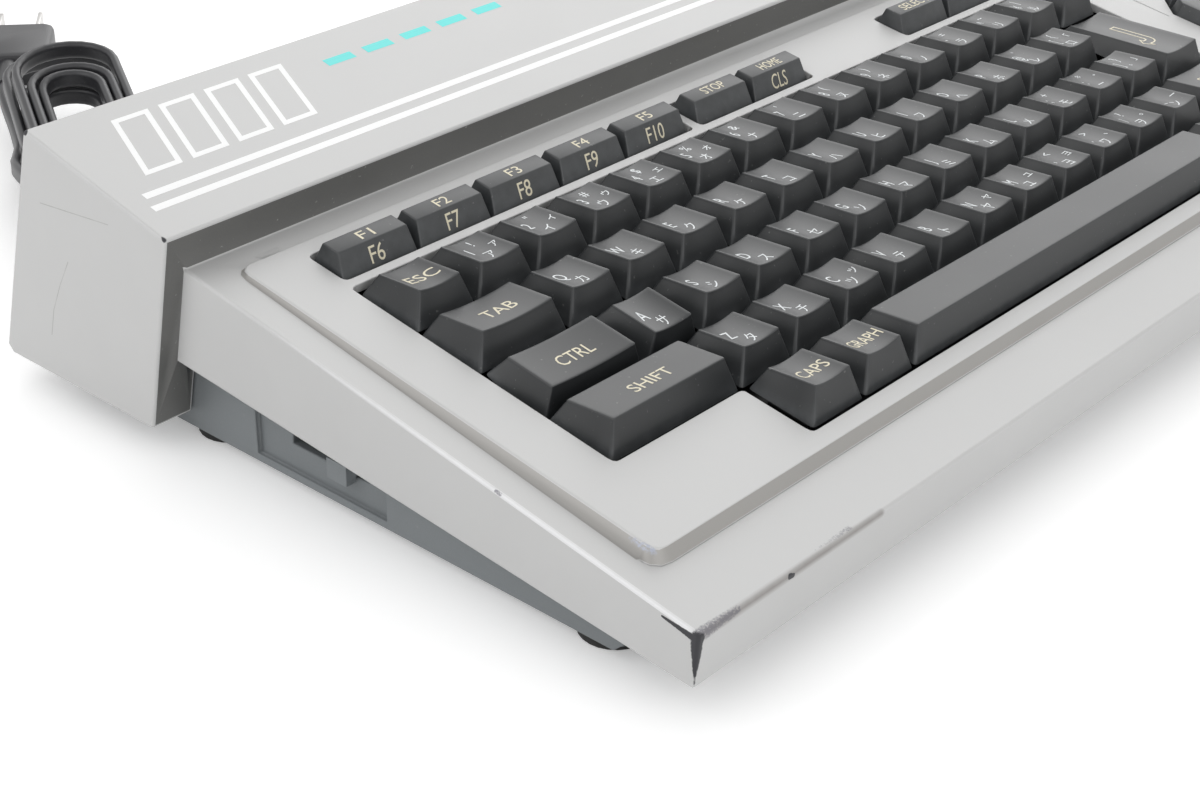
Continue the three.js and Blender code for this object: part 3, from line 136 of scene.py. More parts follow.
# The box's top, seen from the side
BOX_TOP_FRONT = (144.1, 58.3)
BOX_TOP_REAR = (192.6, 69.9)
BOX_SLOPE = math.atan2(BOX_TOP_REAR[1] - BOX_TOP_FRONT[1], BOX_TOP_REAR[0] - BOX_TOP_FRONT[0])
BOX_TOP = (
    MACHINE @ Matrix.Translation((KEY_PLANE[0], BOX_TOP_FRONT[0], BOX_TOP_FRONT[1]))
    @ Matrix.Rotation(BOX_SLOPE, 4, "X")
)

# Camera, at the photograph's place
CAMERA_PLACE = (-0.46007, -0.30493, 0.25817)
CAMERA_RIGHT = (0.66157, -0.74964, 0.01878)
CAMERA_UP = (0.35825, 0.33797, 0.87031)
CAMERA_FORWARD = (0.65877, 0.56904, -0.49215)
CAMERA_LENS = 65.0
CAMERA_SENSOR = 36
CAMERA_CLIP = (0.01, 50)

WHITE = (1, 1, 1, 1)
BLACK = (0, 0, 0, 1)
TINY = 1e-9

# Scene objects

def new_object(name, data):
    made = bpy.data.objects.new(name, data)
    bpy.context.scene.collection.objects.link(made)
    return made


def mesh_from(name, verts, faces, frame_matrix, materials, face_materials=None):
    mesh = bpy.data.meshes.new(name)
    mesh.from_pydata([tuple(frame_matrix @ Vector(v)) for v in verts], [], faces)
    for material in materials:
        mesh.materials.append(material)
    if face_materials:
        mesh.polygons.foreach_set("material_index", face_materials)
    mesh.update()
    return mesh


def smooth(mesh, angle):
    mesh.polygons.foreach_set("use_smooth", [True] * len(mesh.polygons))
    mesh.set_sharp_from_angle(angle=math.radians(angle))


class Build:
    """Vertices and faces of one piece, gathered shape by shape."""

    def __init__(self):
        self.verts = []
        self.faces = []
        self.kinds = []

    def add(self, verts, faces, kind=0, matrix=None):
        start = len(self.verts)
        self.verts += [tuple(matrix @ Vector(v)) if matrix else tuple(v) for v in verts]
        self.faces += [tuple(i + start for i in face) for face in faces]
        self.kinds += [kind] * len(faces)

    def piece(self, name, frame_matrix, materials, angle=40):
        mesh = mesh_from(name, self.verts, self.faces, frame_matrix, materials, self.kinds)
        smooth(mesh, angle)
        return new_object(name, mesh)


def rings_to_faces(count, size, closed_first=False, closed_last=False):
    """Faces between successive rings of the same number of points."""
    faces = []
    for ring in range(count - 1):
        for k in range(size):
            a = ring * size + k
            b = ring * size + (k + 1) % size
            faces.append((a, b, b + size, a + size))
    if closed_first:
        faces.append(tuple(reversed(range(size))))
    if closed_last:
        faces.append(tuple(range((count - 1) * size, count * size)))
    return faces


def around(middle, half):
    return middle - half, middle + half


def between(here, there, share):
    return tuple(a + (b - a) * share for a, b in zip(here, there))


def rounded_ring(x0, x1, y0, y1, radius, x_steps, y_steps):
    """Points round a rectangle with rounded corners, anticlockwise from the front right."""
    corners = [
        (x1 - radius, y0 + radius, -90), (x1 - radius, y1 - radius, 0),
        (x0 + radius, y1 - radius, 90), (x0 + radius, y0 + radius, 180),
    ]

    def on_arc(corner, turned):
        angle = math.radians(corner[2] + turned)
        return corner[0] + radius * math.cos(angle), corner[1] + radius * math.sin(angle)

    points = []
    for i, steps in enumerate((y_steps, x_steps, y_steps, x_steps)):
        points += [on_arc(corners[i], 90 * k / CORNER_STEPS) for k in range(CORNER_STEPS + 1)]
        here, there = points[-1], on_arc(corners[(i + 1) % 4], 0)
        points += [between(here, there, k / steps) for k in range(1, steps)]
    return points


def add_bevelled(build, shape, edges, width, segments, kind, matrix):
    """The shape with slanted or rounded edges, as a moulded part has."""
    bmesh.ops.bevel(
        shape, geom=edges, offset=width, segments=segments, profile=0.5, affect="EDGES")
    shape.verts.index_update()
    verts = [vert.co.copy() for vert in shape.verts]
    faces = [[vert.index for vert in face.verts] for face in shape.faces]
    shape.free()
    build.add(verts, faces, kind, matrix)


def box_shape(build, x, y, z, edge, kind=0, matrix=None):
    shape = bmesh.new()
    bmesh.ops.create_cube(shape, size=1)
    for vert in shape.verts:
        vert.co = Vector([span[0] if v < 0 else span[1] for v, span in zip(vert.co, (x, y, z))])
    add_bevelled(build, shape, shape.edges[:], edge, 2, kind, matrix)


# Materials

MIX_FIRST = 6
MIX_SECOND = 7
MIX_RESULT = 2
BROAD_SIZE = 110
FINE_DETAIL = 3
BROAD_DETAIL = 5
FINE_SHARE = 0.45
MOTTLE_SPAN = (0.3, 0.7)
BUMP_DISTANCE = 0.00004
SPECK_SCALE = 900
SPECK_SPAN = (0.7, 0.8)
SPECK_COLOUR = (0.5, 0.5, 0.48)
POINTED_SPAN = (0.52, 0.6)
EDGE_PATCH_SCALE = 300
EDGE_PATCH_DETAIL = 4
WEAR_AND_HIGHLIGHT_START = 0.25
WEAR_AND_HIGHLIGHT_DETAIL = 5
WEAR_AND_HIGHLIGHT_ROUGHNESS = 0.65
SCRATCH_PATCH_SCALE = 260
SCRATCH_DEPTH = 4


def new_node(tree, kind, inputs, operation=None):
    """A shader node, each of its inputs given a value or the output that feeds it."""
    made = tree.nodes.new(kind)
    if operation:
        made.operation = operation
    for socket, value in inputs.items():
        if isinstance(value, bpy.types.NodeSocket):
            tree.links.new(value, made.inputs[socket])
        else:
            made.inputs[socket].default_value = value
    return made


def maths(tree, operation, *values):
    return new_node(tree, "ShaderNodeMath", dict(enumerate(values)), operation).outputs[0]


def vectors(tree, operation, first, second, output):
    return new_node(tree, "ShaderNodeVectorMath", {0: first, 1: second}, operation).outputs[output]


def noise(tree, place, scale, detail=2, roughness=0.5):
    values = {"Vector": place, "Scale": scale, "Detail": detail, "Roughness": roughness}
    return new_node(tree, "ShaderNodeTexNoise", values).outputs["Fac"]


def ramp(tree, fac, span, low, high):
    """One colour below a span of values, and another above it."""
    made = new_node(tree, "ShaderNodeValToRGB", {"Fac": fac})
    for element, position, colour in zip(made.color_ramp.elements, span, (low, high)):
        element.position = position
        element.color = colour
    return made.outputs["Color"]


def mix_colour(tree, share, first, second):
    mix = tree.nodes.new("ShaderNodeMix")
    mix.data_type = "RGBA"
    tree.links.new(share, mix.inputs["Factor"])
    tree.links.new(first, mix.inputs[MIX_FIRST])
    mix.inputs[MIX_SECOND].default_value = second + (1,)
    return mix.outputs[MIX_RESULT]


def dusted(tree, place, colour, amount):
    """Sparse pale specks of dust and rubbed paint."""
    specks = noise(tree, place, SPECK_SCALE)
    share = ramp(tree, specks, SPECK_SPAN, BLACK, (amount, amount, amount, 1))
    return mix_colour(tree, share, colour, SPECK_COLOUR)


def worn_and_highlit_edges(tree, place, colour, edge_colour, amount):
    """Edges made a paler tone, broken up by noise: rubbed wear and a painted highlight along the
    edges.
    """
    pointed = new_node(tree, "ShaderNodeNewGeometry", {}).outputs["Pointiness"]
    edges = ramp(tree, pointed, POINTED_SPAN, BLACK, WHITE)
    patches = noise(tree, place, EDGE_PATCH_SCALE, EDGE_PATCH_DETAIL)
    broken = maths(tree, "MULTIPLY", edges, patches)
    return mix_colour(tree, maths(tree, "MULTIPLY", broken, amount), colour, edge_colour)


def grain_material(name, colour, rough, metallic=0.0, grain=4000, grain_bump=0.05, mottle=0.06,
                   rough_spread=0.08, edge_colour=None, edge_amount=0.0, coat=0.0, dust=0.0,
                   specular=0.5):
    """Painted or moulded plastic: grain in colour, gloss and height, with dust, and paler edges
    that are part wear and part painted highlight.
    """
    material = bpy.data.materials.new(name)
    material.use_nodes = True
    tree = material.node_tree
    surface = tree.nodes["Principled BSDF"]
    surface.inputs["Metallic"].default_value = metallic
    surface.inputs["Coat Weight"].default_value = coat
    surface.inputs["Specular IOR Level"].default_value = specular
    place = new_node(tree, "ShaderNodeTexCoord", {}).outputs["Object"]
    fine = noise(tree, place, grain, FINE_DETAIL)
    broad = noise(tree, place, grain / BROAD_SIZE, BROAD_DETAIL)
    weighed = maths(tree, "MULTIPLY", broad, 1 - FINE_SHARE)
    both = maths(tree, "MULTIPLY_ADD", fine, FINE_SHARE, weighed)
    tones = [tuple(min(1, c * t) for c in colour) + (1,) for t in (1 - mottle, 1 + mottle)]
    seen = ramp(tree, both, MOTTLE_SPAN, *tones)
    if dust:
        seen = dusted(tree, place, seen, dust)
    if edge_colour:
        seen = worn_and_highlit_edges(tree, place, seen, edge_colour, edge_amount)
    tree.links.new(seen, surface.inputs["Base Color"])
    gloss = new_node(tree, "ShaderNodeMapRange", {
        "Value": broad, "To Min": rough - rough_spread, "To Max": rough + rough_spread})
    tree.links.new(gloss.outputs["Result"], surface.inputs["Roughness"])
    bump = new_node(tree, "ShaderNodeBump", {
        "Strength": grain_bump, "Distance": BUMP_DISTANCE, "Height": fine})
    tree.links.new(bump.outputs["Normal"], surface.inputs["Normal"])
    return material


def shared_place(x, y, z):
    return Vector((x * MM, (y + FRONT_EDGE_Y) * MM, z * MM))


def object_place(tree):
    return tree.nodes["Texture Coordinate"].outputs["Object"]


def cover(tree, share, colour):
    """Lays a colour over what the base colour is now."""
    base = tree.nodes["Principled BSDF"].inputs["Base Color"]
    tree.links.new(mix_colour(tree, share, base.links[0].from_socket, colour), base)


def closeness(tree, place, line):
    """1 on a line between two points, falling to 0 at a radius that changes along it."""
    start, end, first_radius, last_radius = line
    along = shared_place(*end) - shared_place(*start)
    offset = vectors(tree, "SUBTRACT", place, shared_place(*start), "Vector")
    product = vectors(tree, "DOT_PRODUCT", offset, along / along.length_squared, "Value")
    share = maths(tree, "MINIMUM", maths(tree, "MAXIMUM", product, 0), 1)
    scaled = new_node(tree, "ShaderNodeVectorMath", {0: along, "Scale": share}, "SCALE")
    nearest = scaled.outputs["Vector"]
    distance = vectors(tree, "DISTANCE", offset, nearest, "Value")
    change = maths(tree, "MULTIPLY", share, (last_radius - first_radius) * MM)
    radius = maths(tree, "ADD", change, first_radius * MM)
    return maths(tree, "SUBTRACT", 1, maths(tree, "DIVIDE", distance, radius))


def add_wear_and_highlight(material, lines, colour, grain, ragged, soft, amount):
    """Another tone along some lines, with an edge broken up by noise: wear marks, and also the
    painted highlight on the deck's left edge.
    """
    tree = material.node_tree
    place = object_place(tree)
    nearest = 0
    for line in lines:
        nearest = maths(tree, "MAXIMUM", closeness(tree, place, line), nearest)
    patches = noise(tree, place, grain, WEAR_AND_HIGHLIGHT_DETAIL, WEAR_AND_HIGHLIGHT_ROUGHNESS)
    uneven = maths(tree, "MULTIPLY", maths(tree, "SUBTRACT", patches, 0.5), ragged)
    broken = maths(tree, "MULTIPLY", nearest, maths(tree, "ADD", uneven, 1))
    span = (WEAR_AND_HIGHLIGHT_START, WEAR_AND_HIGHLIGHT_START + soft)
    cover(tree, ramp(tree, broken, span, BLACK, (amount, amount, amount, 1)), colour)


def add_scratches(material, lines, colour, width):
    """Fine straight scratches between pairs of points on the left wall."""
    tree = material.node_tree
    place = object_place(tree)
    total = 0
    for start, end in lines:
        along = shared_place(*end) - shared_place(*start)
        aside = Vector((0, -along.z, along.y)).normalized()
        offset = vectors(tree, "SUBTRACT", place, shared_place(*start), "Vector")
        line = 1
        for direction, middle, reach in (
                (along / along.length_squared, 0.5, 0.5), (aside, 0, width / 2),
                (Vector((1, 0, 0)), 0, width * SCRATCH_DEPTH)):
            share = vectors(tree, "DOT_PRODUCT", offset, direction, "Value")
            away = maths(tree, "ABSOLUTE", maths(tree, "SUBTRACT", share, middle))
            line = maths(tree, "MULTIPLY", line, maths(tree, "LESS_THAN", away, reach))
        total = maths(tree, "MAXIMUM", line, total)
    patches = noise(tree, place, SCRATCH_PATCH_SCALE)
    cover(tree, maths(tree, "MULTIPLY", total, patches), colour)


def ink_material(name, colour, rough):
    return grain_material(name, colour, rough, grain=5000, grain_bump=0.02, mottle=0.04)


# Wear, and a painted highlight along the deck's left edge: lines between two points in the
# machine's frame, each with its radius at either end
DARK_LINES = [
    ((-199, 0.4, 21.2), (-199, 0.3, 13), 2.6, 1.1), ((-199, 0.3, 13), (-199, 0.3, 5), 1.1, 1),
    ((-199, 0.6, 21.3), (-199, 9, 22.7), 1.3, 0.4),
    ((-170.9, 0, 21.9), (-169.9, 0, 21.6), 1, 0.8),
    ((-205, 144.2, 58.6), (-204.8, 145.4, 59.2), 1.5, 1),
    ((-205, 192, 69.4), (-204.6, 192.6, 69.4), 1.2, 1.2),
]
SMEAR_LINES = [
    ((-198, 0.5, 22), (-187, 0.5, 22.1), 2.2, 1.2),
    ((-166, 1.4, 22.2), (-150, 1.2, 22.2), 0.7, 1.2),
    ((-199, 51.3, 31.7), (-199, 52.3, 31.9), 0.9, 0.8),
]
PATCH_LINES = [((-191.2, 25, 29.8), (-190.4, 18.1, 28.7), 1.2, 1.5)]
RUBBED_LINES = [((-199, 0.2, 22), (-140, 0.2, 22), 2.1, 1.6)]
# A painted highlight: a paler tone along the deck's left edge where its round catches the light.
PAINTED_HIGHLIGHT_LINES = [((-199, 3, 22.5), (-199, 143, 49.2), 2.8, 0.9)]
# The materials, the lines, their colour, the noise's scale, how ragged and soft it is, amount
WEAR_AND_HIGHLIGHT = [
    # The painted highlight along the deck's left edge
    ("edge", PAINTED_HIGHLIGHT_LINES, (0.85, 0.85, 0.86), 400, 0.4, 0.6, 0.8),
    ("edge paint", RUBBED_LINES, (0.3, 0.285, 0.275), 300, 0.3, 0.7, 1),
    ("edge paint", SMEAR_LINES, (0.15, 0.145, 0.17), 1800, 4, 0.4, 0.75),
    ("edge paint", DARK_LINES, (0.025, 0.025, 0.03), 900, 1.6, 0.15, 1),
    ("edge paint step", PATCH_LINES, (0.42, 0.45, 0.54), 1500, 4, 0.3, 0.8),
]
SCRATCHES = [
    ((-205, 189.1, 53.1), (-205, 163.9, 55.7)), ((-205, 180.7, 41.1), (-205, 184.9, 33.8)),
    ((-205, 184.9, 33.8), (-205, 188.6, 26.1)), ((-205, 188.6, 26.1), (-205, 190.6, 18.8)),
]
SCRATCH_WIDTH = 0.00024
SCRATCH_COLOUR = (0.3, 0.3, 0.29)


def make_materials():
    materials = plain_materials()
    for names, *wear_and_highlight_args in WEAR_AND_HIGHLIGHT:
        for name in names.split():
            add_wear_and_highlight(materials[name], *wear_and_highlight_args)
    add_scratches(materials["paint"], SCRATCHES, SCRATCH_COLOUR, SCRATCH_WIDTH)
    return materials


def plain_materials():
    return {
        "paint": grain_material(
            "silver_paint", (0.56, 0.56, 0.556), 0.46, metallic=0.12, grain=6000, mottle=0.03,
            dust=0.1),
        # Bevel faces of the upper case: they carry the wear lines and the painted highlight on the
        # deck's left edge.
        "edge": grain_material(
            "rubbed_edge_and_highlight", (0.57, 0.57, 0.566), 0.46, metallic=0.12, grain=5200,
            rough_spread=0.1),
        # A darker grey tone on the step faces round the key windows.
        "step": grain_material(
            "darker_step_tone", (0.36, 0.35, 0.335), 0.45, metallic=0.3, grain=6000, mottle=0.04,
            dust=0.1),
        # A darker grey tone on the box's front wall.
        "dark": grain_material(
            "dark_front_wall", (0.13, 0.13, 0.125), 0.42, metallic=0.1, grain=5200, mottle=0.12,
            dust=0.5),
        "lower": grain_material(
            "grey_plastic", (0.2, 0.216, 0.225), 0.55, grain=2600, grain_bump=0.25, dust=0.1),
        # Keys: paler rounded edges, part rubbed wear and part painted highlight.
        "key": grain_material(
            "key_plastic", (0.016, 0.0177, 0.019), 0.4, grain=3600, grain_bump=0.2, mottle=0.14,
            rough_spread=0.05, edge_colour=(0.2, 0.215, 0.225), edge_amount=0.4, dust=0.2,
            specular=0.6),
        "black": grain_material(
            "black_plastic", (0.012, 0.012, 0.013), 0.5, grain=3000, grain_bump=0.2,
            mottle=0.15),
        "rubber": grain_material(
            "foot_rubber", (0.016, 0.016, 0.016), 0.75, grain=1800, grain_bump=0.35,
            mottle=0.25),
        "board": grain_material(
            "board_green", (0.03, 0.11, 0.045), 0.35, grain=900, grain_bump=0.1, mottle=0.2,
            coat=0.3),
        "steel": grain_material(
            "plated_steel", (0.62, 0.61, 0.59), 0.3, metallic=1.0, grain=3000, grain_bump=0.08,
            mottle=0.08),
        "cord": grain_material(
            "cord_vinyl", (0.028, 0.028, 0.031), 0.38, grain=1500, grain_bump=0.12, mottle=0.2,
            dust=0.08),
        "cream": ink_material("legend_cream", (0.78, 0.72, 0.55), 0.5),
        "white": ink_material("legend_white", (0.8, 0.83, 0.84), 0.5),
        "stripe": ink_material("stripe_white", (0.96, 0.965, 0.965), 0.5),
        "teal": ink_material("dash_teal", (0.1, 0.75, 0.72), 0.4),
    }


# Camera

def add_camera():
    data = bpy.data.cameras.new("camera")
    data.lens = CAMERA_LENS
    data.sensor_width = CAMERA_SENSOR
    data.sensor_fit = "HORIZONTAL"
    data.clip_start, data.clip_end = CAMERA_CLIP
    camera = new_object("camera", data)
    back = [-v for v in CAMERA_FORWARD]
    place = Matrix((CAMERA_RIGHT, CAMERA_UP, back)).transposed().to_4x4()
    place.translation = Vector(CAMERA_PLACE)
    camera.matrix_world = place
    bpy.context.scene.camera = camera


# Cord

CORD_STEPS = 8
CORD_LEAST_STEP = 0.6
CORD_ANGLE = 60
CORE_ARC = 220
CORE_STEPS = 7


def hank_matrix():
    along = Vector((
        math.cos(HANK_HEADING) * math.cos(HANK_TILT),
        math.sin(HANK_HEADING) * math.cos(HANK_TILT), math.sin(HANK_TILT),
    ))
    across = Vector((-math.sin(HANK_HEADING), math.cos(HANK_HEADING), 0))
    matrix = Matrix((along, across, along.cross(across))).transposed().to_4x4()
    matrix.translation = Vector(HANK_CENTRE)
    return matrix


def hank_steps_in(turn):
    """How many pitches inside the outer loop the cord lies."""
    phase = (turn / HANK_TURNS_PER_LAYER) % 2
    return (1 - abs(1 - phase)) * HANK_TURNS_PER_LAYER


def hank_gathered(turn):
    """How far a fold lies inside the outermost one: the inner folds are gathered together."""
    return HANK_GATHER * math.sin(math.pi / 2 * min(hank_steps_in(turn) / HANK_GATHER_TURNS, 1))


def hank_layer(turn):
    layer = round(turn / HANK_TURNS_PER_LAYER + TINY)
    climb = min(max((turn - layer * HANK_TURNS_PER_LAYER) * 2 + 0.5, 0), 1)
    layers = HANK_TURNS // HANK_TURNS_PER_LAYER
    if layer in (0, layers):
        return min(layer, layers - 1)
    return layer - 1 + climb


def hank_point(turn):
    radius = HANK_OUTER_RADIUS - hank_steps_in(turn) * HANK_PITCH
    reach = HANK_STRAIGHT / 2 - hank_gathered(turn)
    part = (turn % 1) * 6
    z = hank_layer(turn) * HANK_LAYER_PITCH
    if part < 1:
        return Vector((-reach + 2 * reach * part, radius, z))
    if part < 3:
        angle = math.pi / 2 - (part - 1) / 2 * math.pi
        return Vector((reach + radius * math.cos(angle), radius * math.sin(angle), z))
    if part < 4:
        return Vector((reach - 2 * reach * (part - 3), -radius, z))
    angle = -math.pi / 2 - (part - 4) / 2 * math.pi
    return Vector((-reach + radius * math.cos(angle), radius * math.sin(angle), z))


def plug_direction():
    return Vector((math.cos(PLUG_HEADING), math.sin(PLUG_HEADING), 0))


def blend(first, last, start, end, time):
    return first * ((end - time) / (end - start)) + last * ((time - start) / (end - start))


def curve_through(points, steps):
    """A centripetal Catmull-Rom curve through the points."""
    ends = [points[0] * 2 - points[1]] + list(points) + [points[-1] * 2 - points[-2]]
    found = []
    for i in range(1, len(ends) - 2):
        p0, p1, p2, p3 = ends[i - 1:i + 3]
        t0 = 0
        t1 = t0 + math.sqrt((p1 - p0).length)
        t2 = t1 + math.sqrt((p2 - p1).length)
        t3 = t2 + math.sqrt((p3 - p2).length)
        for k in range(steps):
            t = t1 + (t2 - t1) * k / steps
            a1, a2 = blend(p0, p1, t0, t1, t), blend(p1, p2, t1, t2, t)
            a3 = blend(p2, p3, t2, t3, t)
            found.append(blend(blend(a1, a2, t0, t2, t), blend(a2, a3, t1, t3, t), t1, t2, t))
    found.append(points[-1].copy())
    return found


def cord_points():
    matrix = hank_matrix()
    along = (matrix.to_3x3() @ Vector((1, 0, 0))).normalized()
    start = Vector(RELIEF_TIP) + Vector((0, CORD_GAP, 0))
    lead = CORD_TALL + CORD_GAP
    entry = matrix @ hank_point(0) - along * lead
    first = [start, start + Vector((0, CORD_RUN_IN, 0)), entry - along * CORD_RUN_IN, entry]
    middle = []
    for i in range(HANK_TURNS * HANK_STEPS_PER_TURN + 1):
        turn = min(i / HANK_STEPS_PER_TURN, HANK_TURNS - TINY)
        middle.append(matrix @ hank_point(turn))
    leave = middle[-1] + along * lead
    direction = plug_direction()
    tail = Vector(PLUG_FRONT) - direction * (PLUG_LENGTH + PLUG_TAIL + CORD_GAP)
    last = [leave, leave + along * CORD_RUN_IN] + [Vector(p) for p in CORD_TO_PLUG]
    last += [tail - direction * CORD_RUN_IN, tail]
    return curve_through(first, CORD_STEPS) + middle + curve_through(last, CORD_STEPS)


def twin_section():
    """Two round cores side by side under one skin: across is the thin way."""
    radius = CORD_THICK / 2
    offset = CORD_TALL / 2 - radius
    start = (180 - CORE_ARC) / 2
    points = []
    for centre, first in ((offset, start), (-offset, start + 180)):
        for i in range(CORE_STEPS + 1):
            angle = math.radians(first + CORE_ARC * i / CORE_STEPS)
            points.append((radius * math.cos(angle), centre + radius * math.sin(angle)))
    return points


def tube(points, up, section):
    verts = []
    for i, point in enumerate(points):
        before = points[max(i - 1, 0)]
        after = points[min(i + 1, len(points) - 1)]
        tangent = (after - before).normalized()
        side = tangent.cross(up).normalized()
        rise = side.cross(tangent)
        verts += [point + side * a + rise * b for a, b in section]
    return verts, rings_to_faces(len(points), len(section), True, True)


def thinned(points, least):
    """The points at least that far apart, with both ends kept."""
    kept = [points[0]]
    for point in points[1:-1]:
        if (point - kept[-1]).length > least and (point - points[-1]).length > least:
            kept.append(point)
    return kept + [points[-1]]


def add_cord(materials, plug):
    points = thinned(cord_points(), CORD_LEAST_STEP)
    up = (hank_matrix().to_3x3() @ Vector((0, 0, 1))).normalized()
    verts, faces = tube(points, up, twin_section())
    build = Build()
    build.add(verts, faces)
    cord = build.piece("mains_lead", MACHINE, [materials["cord"]], CORD_ANGLE)
    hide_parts("power_cord", "cord_hank", "plug_cord")
    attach(cord, "case")


# CAD nodes with finer edges

EDGE_ANGLE = math.radians(32)
THIN_SHARE = 2.4
LEAST_SHARE = 0.3
STEP_EDGE_SHARE = 0.5
WINDOW_EDGE_SHARE = 0.4
WINDOWS_X = (-17, 362)
WINDOWS_Y = (-10, 112)
BOX_INSIDE_Y = 160
BOX_INSIDE_Z = 57
BOX_INSIDE_X = 204
BOX_WALL_Y = (140, 157)
BOX_WALL_NORMAL_Y = -0.8
STEP_X = (-24, 345)
STEP_Y = (-14, 116)
STEP_Z = (-11, -5.5)
STEP_NORMAL_Z = (0, 0.93)
PAINT_TONE = 0
STEP_TONE = 1
DARK_TONE = 2
WELD = 0.00001
FLAT_ANGLE = math.radians(1)
EDGE_SEGMENTS = 3


def edge_share(edge, width):
    """Outer edges are rounded, and less where a face beside them is narrow."""
    if len(edge.link_faces) != 2 or not edge.is_convex or edge.calc_face_angle(0) < EDGE_ANGLE:
        return 0
    across = min(face.calc_area() for face in edge.link_faces) / edge.calc_length()
    share = min(across / (THIN_SHARE * width), 1)
    return share if share >= LEAST_SHARE else 0


def machine_place(point):
    return Vector((point.x / MM, point.y / MM - FRONT_EDGE_Y, point.z / MM))


def within(value, span):
    return span[0] < value < span[1]


def upper_case_share(edge):
    """The step and the key windows have smaller rounds, and the inside of the box none."""
    middle = (edge.verts[0].co + edge.verts[1].co) / 2
    place = machine_place(middle)
    key_place = KEYS.inverted() @ middle
    if place.y > BOX_INSIDE_Y and place.z < BOX_INSIDE_Z and abs(place.x) < BOX_INSIDE_X:
        return 0
    tones = [upper_case_tone(face) for face in edge.link_faces]
    share = STEP_EDGE_SHARE if STEP_TONE in tones else 1
    if within(key_place.x, WINDOWS_X) and within(key_place.y, WINDOWS_Y):
        share *= WINDOW_EDGE_SHARE
    return share


def upper_case_tone(face):
    """The tone of the step round the keys, of the box's dark front or of the paint."""
    middle = face.calc_center_median()
    if face.normal.y < BOX_WALL_NORMAL_Y and within(machine_place(middle).y, BOX_WALL_Y):
        return DARK_TONE
    spans = zip(KEYS.inverted() @ middle, (STEP_X, STEP_Y, STEP_Z))
    if all(within(v, span) for v, span in spans) and within(face.normal.z, STEP_NORMAL_Z):
        return STEP_TONE
    return PAINT_TONE


def dressed(node, materials, width, body, tone):
    """A copy of a CAD node with small rounds along its edges, which take the last material."""
    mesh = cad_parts[node].data.copy()
    mesh.name = node + "_rounded"
    if mesh.has_custom_normals:
        mesh.normals_split_custom_set([(0, 0, 0)] * len(mesh.loops))
    shape = bmesh.new()
    shape.from_mesh(mesh)
    bmesh.ops.remove_doubles(shape, verts=shape.verts, dist=WELD)
    bmesh.ops.dissolve_limit(
        shape, angle_limit=FLAT_ANGLE, verts=shape.verts, edges=shape.edges)
    weights = shape.edges.layers.float.new("bevel_weight_edge")
    for face in shape.faces:
        face.smooth = True
        face.material_index = tone(face) if tone else PAINT_TONE
    for edge in shape.edges:
        edge.smooth = True
        edge[weights] = edge_share(edge, width) * (upper_case_share(edge) if tone else 1)
    mesh.materials.clear()
    for material in materials:
        mesh.materials.append(material)
    shape.to_mesh(mesh)
    shape.free()
    piece = new_object(node + "_rounded", mesh)
    bevel = piece.modifiers.new("edge rounds", "BEVEL")
    bevel.width = width
    bevel.segments = EDGE_SEGMENTS
    bevel.limit_method = "WEIGHT"
    bevel.miter_outer = "MITER_ARC"
    bevel.use_clamp_overlap = False
    bevel.loop_slide = False
    if len(materials) > 1:
        bevel.material = len(materials) - 1
    piece.modifiers.new("flat faces", "WEIGHTED_NORMAL").keep_sharp = True
    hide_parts(node)
    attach(piece, body)


# Keycaps

def fall_rate(rows):
    return TOP_FALL / TOP_DEPTH * (TALL_FALL_SHARE if rows > 1 else 1)


def key_top_z(x, y, width, rows, flat):
    z = -fall_rate(rows) * y
    if flat:
        return z
    chord = width - 2 * DISH_MARGIN
    radius = chord * chord / (8 * DISH_SAG) + DISH_SAG / 2
    away = abs(x - width / 2)
    if away >= chord / 2:
        return z
    return z - DISH_SAG + radius - math.sqrt(radius * radius - away * away)


